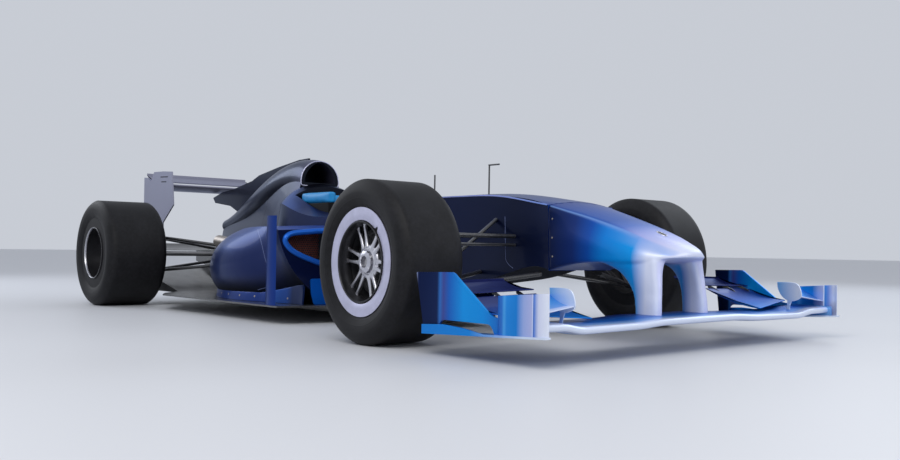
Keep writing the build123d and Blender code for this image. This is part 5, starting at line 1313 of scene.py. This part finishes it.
def makeCockpit():
    print("stage: cockpit")
    addPiece("headrestBase", restShape(cockpit["baseLow"], cockpit["padLow"] + 0.002, cockpit["padThick"],
                                       0.004), "matBlack",
             "root", ["headrest"], 30)
    pad = addPiece("headrestPad", restShape(cockpit["padLow"] + 0.002, cockpit["padHigh"] - 0.004,
                                            cockpit["padThick"] - 0.008, 0.012),
                   "cyanPad", "root")
    padUp(pad, cockpit["padVoxel"], cockpit["padCap"])
    mesh = nodes["seat"].data
    verts = np.zeros(len(mesh.vertices) * 3)
    mesh.vertices.foreach_get("co", verts)
    verts = verts.reshape(-1, 3)
    middle = (verts.min(0) + verts.max(0)) / 2
    shape = {"verts": middle + (verts - middle) * cockpit["seatShrink"], "quads": np.zeros((0, 4), int),
             "tris": np.zeros((0, 3), int), "plates": [list(face.vertices) for face in mesh.polygons]}
    seat = addPiece("seatPad", shape, "seatCloth", "root", ["seat"])
    padUp(seat, cockpit["seatVoxel"], cockpit["seatCap"])
    ahead, across, height = cockpit["wheel"]
    tilt = math.radians(cockpit["tiltDeg"])
    centre = np.array([frontAxle + ahead, across, height])
    n, up, right = np.array([(-math.cos(tilt), 0, math.sin(tilt)), (math.sin(tilt), 0, math.cos(tilt)),
                             (0, -1, 0)])
    face = centre + n * cockpit["wheelThick"] / 2
    groups = {}
    for x, y, radius, material in cockpit["buttons"]:
        groups.setdefault(material, []).append(bossShape(face + right * x + up * y - n * 0.001, radius,
                                                         0.007, n, 0.25, 20))
    for material, shapes in groups.items():
        addPiece(f"wheelButtons.{material}", joinShapes(shapes), material, "steering_wheel",
                 sharp=40)
    half, low, tall = cockpit["screen"][0] / 2, cockpit["screen"][2] - 0.004, cockpit["screen"][1]
    box = roundOff([(-half, low), (half, low), (half, low + tall), (-half, low + tall)], 0.004, 4)
    flat = face + right * box[:, :1] + up * box[:, 1:]
    screen = np.stack([flat - n * 0.001, flat + n * 0.003])
    addPiece("wheelScreen", loftShape(screen), "screenGlass", "steering_wheel",
             sharp=40)


def assignCad():
    print("stage: CAD materials")
    chosen = {
        "bodyPaint": ["monocoque"],
        "podPaint": ["sidepod_left", "sidepod_right"], "vanePaint": ["sidepod_vanes"],
        "bargePaint": ["bargeboards"],
        "coverPaint": ["engine_cover"], "lilacPaint": ["rear_wing_endplates"],
        "carbon": ["floor", "diffuser", "beam_wing", "gearbox_casing", "aerials"],
        "satinCarbon": ["plank", "rear_uprights", "steering_wheel"],
        "castAlloy": ["engine_block", "front_upright_left", "front_upright_right", "rear_driveshaft_left",
                      "rear_driveshaft_right"],
        "steel": ["exhausts"], "darkCore": ["radiator_cores"], "lampRed": ["rain_light"],
    }
    for material, names in chosen.items():
        for name in names:
            slots = nodes[name].data.materials
            slots.clear()
            slots.append(materials[material])


# Camera: fitted to the photograph; place and angles are relative to the front axle
camera = {
    "ahead": 3.2746, "across": -2.8843, "height": 0.3862, "yawDeg": 133.453, "pitchDeg": 0.568,
    "rollDeg": 0.83, "focalPx": 934.9178, "widthPx": 900, "heightPx": 460, "centrePx": (617.6048, 242.1765),
    "sensor": 36,
}


def makeCamera():
    print("stage: camera")
    yaw, pitch, roll = (math.radians(camera[k]) for k in ("yawDeg", "pitchDeg", "rollDeg"))
    ahead = Vector((math.cos(yaw) * math.cos(pitch), math.sin(yaw) * math.cos(pitch), math.sin(pitch)))
    right = Vector((math.sin(yaw), -math.cos(yaw), 0))
    up = right.cross(ahead)
    right, up = (math.cos(roll) * right + math.sin(roll) * up, math.cos(roll) * up - math.sin(roll) * right)
    data = bpy.data.cameras.new("viewCamera")
    data.sensor_width = camera["sensor"]
    data.lens = camera["focalPx"] * camera["sensor"] / camera["widthPx"]
    data.shift_x = -(camera["centrePx"][0] - camera["widthPx"] / 2) / camera["widthPx"]
    data.shift_y = (camera["centrePx"][1] - camera["heightPx"] / 2) / camera["widthPx"]
    made = bpy.data.objects.new("viewCamera", data)
    bpy.context.scene.collection.objects.link(made)
    place = Matrix((right, up, -ahead)).transposed().to_4x4()
    place.translation = (frontAxle + camera["ahead"], camera["across"], camera["height"])
    made.matrix_world = place
    bpy.context.scene.camera = made


studio = {
    "floorSize": 60, "floorColour": (0.62, 0.63, 0.66), "world": (0.80, 0.84, 0.92), "worldStrength": 0.72,
    # name: (place, size, watts, colour); every lamp looks at the car's middle
    "lamps": {
        "key": ((4.5, -4.5, 5.5), (5.0, 3.0), 240, (1.0, 0.98, 0.95)),
        "fill": ((1.0, 6.5, 4.0), (6.0, 3.0), 120, (0.86, 0.92, 1.0)),
        "rear": ((-6.5, -3.0, 3.5), (4.0, 3.0), 130, (0.90, 0.94, 1.0)),
        "nose": ((6.5, 1.0, 2.2), (3.0, 2.0), 45, (1.0, 1.0, 1.0)),
    },
}


def makeStudio():
    print("stage: studio")
    scene = bpy.context.scene
    scene.view_settings.view_transform = "Standard"
    world = bpy.data.worlds.new("studioWorld")
    world.use_nodes = True
    background = world.node_tree.nodes["Background"]
    background.inputs["Color"].default_value = (*studio["world"], 1)
    background.inputs["Strength"].default_value = studio["worldStrength"]
    scene.world = world
    size = studio["floorSize"]
    corners = np.array([[[-size, -size, 0], [-size, size, 0]], [[size, -size, 0], [size, size, 0]]], float)
    mesh = bpy.data.meshes.new("studioFloor")
    shape = gridShape(corners)
    mesh.from_pydata(shape["verts"], [], shape["quads"].tolist())
    material, wire, shader, place = newMaterial("studioFloor")
    cloud = noise(place, 0.6, 2)
    low, high = ([c * k for c in studio["floorColour"]] for k in (0.97, 1.0))
    finishShader(wire, shader, {"Specular IOR Level": 0.25},
                 {"Base Color": cloud.mix((*low, 1), (*high, 1)), "Roughness": 0.46 + cloud * 0.06})
    mesh.materials.append(material)
    floor = bpy.data.objects.new("studioFloor", mesh)
    scene.collection.objects.link(floor)
    for name, (place, (width, height), watts, colour) in studio["lamps"].items():
        data = bpy.data.lights.new(name, "AREA")
        data.shape, data.size, data.size_y = "RECTANGLE", width, height
        data.energy, data.color = watts, colour
        lamp = bpy.data.objects.new(name, data)
        scene.collection.objects.link(lamp)
        lamp.location = place
        lamp.rotation_euler = (Vector((0, 0, 0.3)) - Vector(place)).to_track_quat("-Z", "Y").to_euler()


assignCad()
makeTyres()
makeWheels()
makeBrakes()
makeSuspension()
makeFrontWing()
makeNose()
makeRearWing()
makeTrim()
makeCockpit()
makeCamera()
makeStudio()
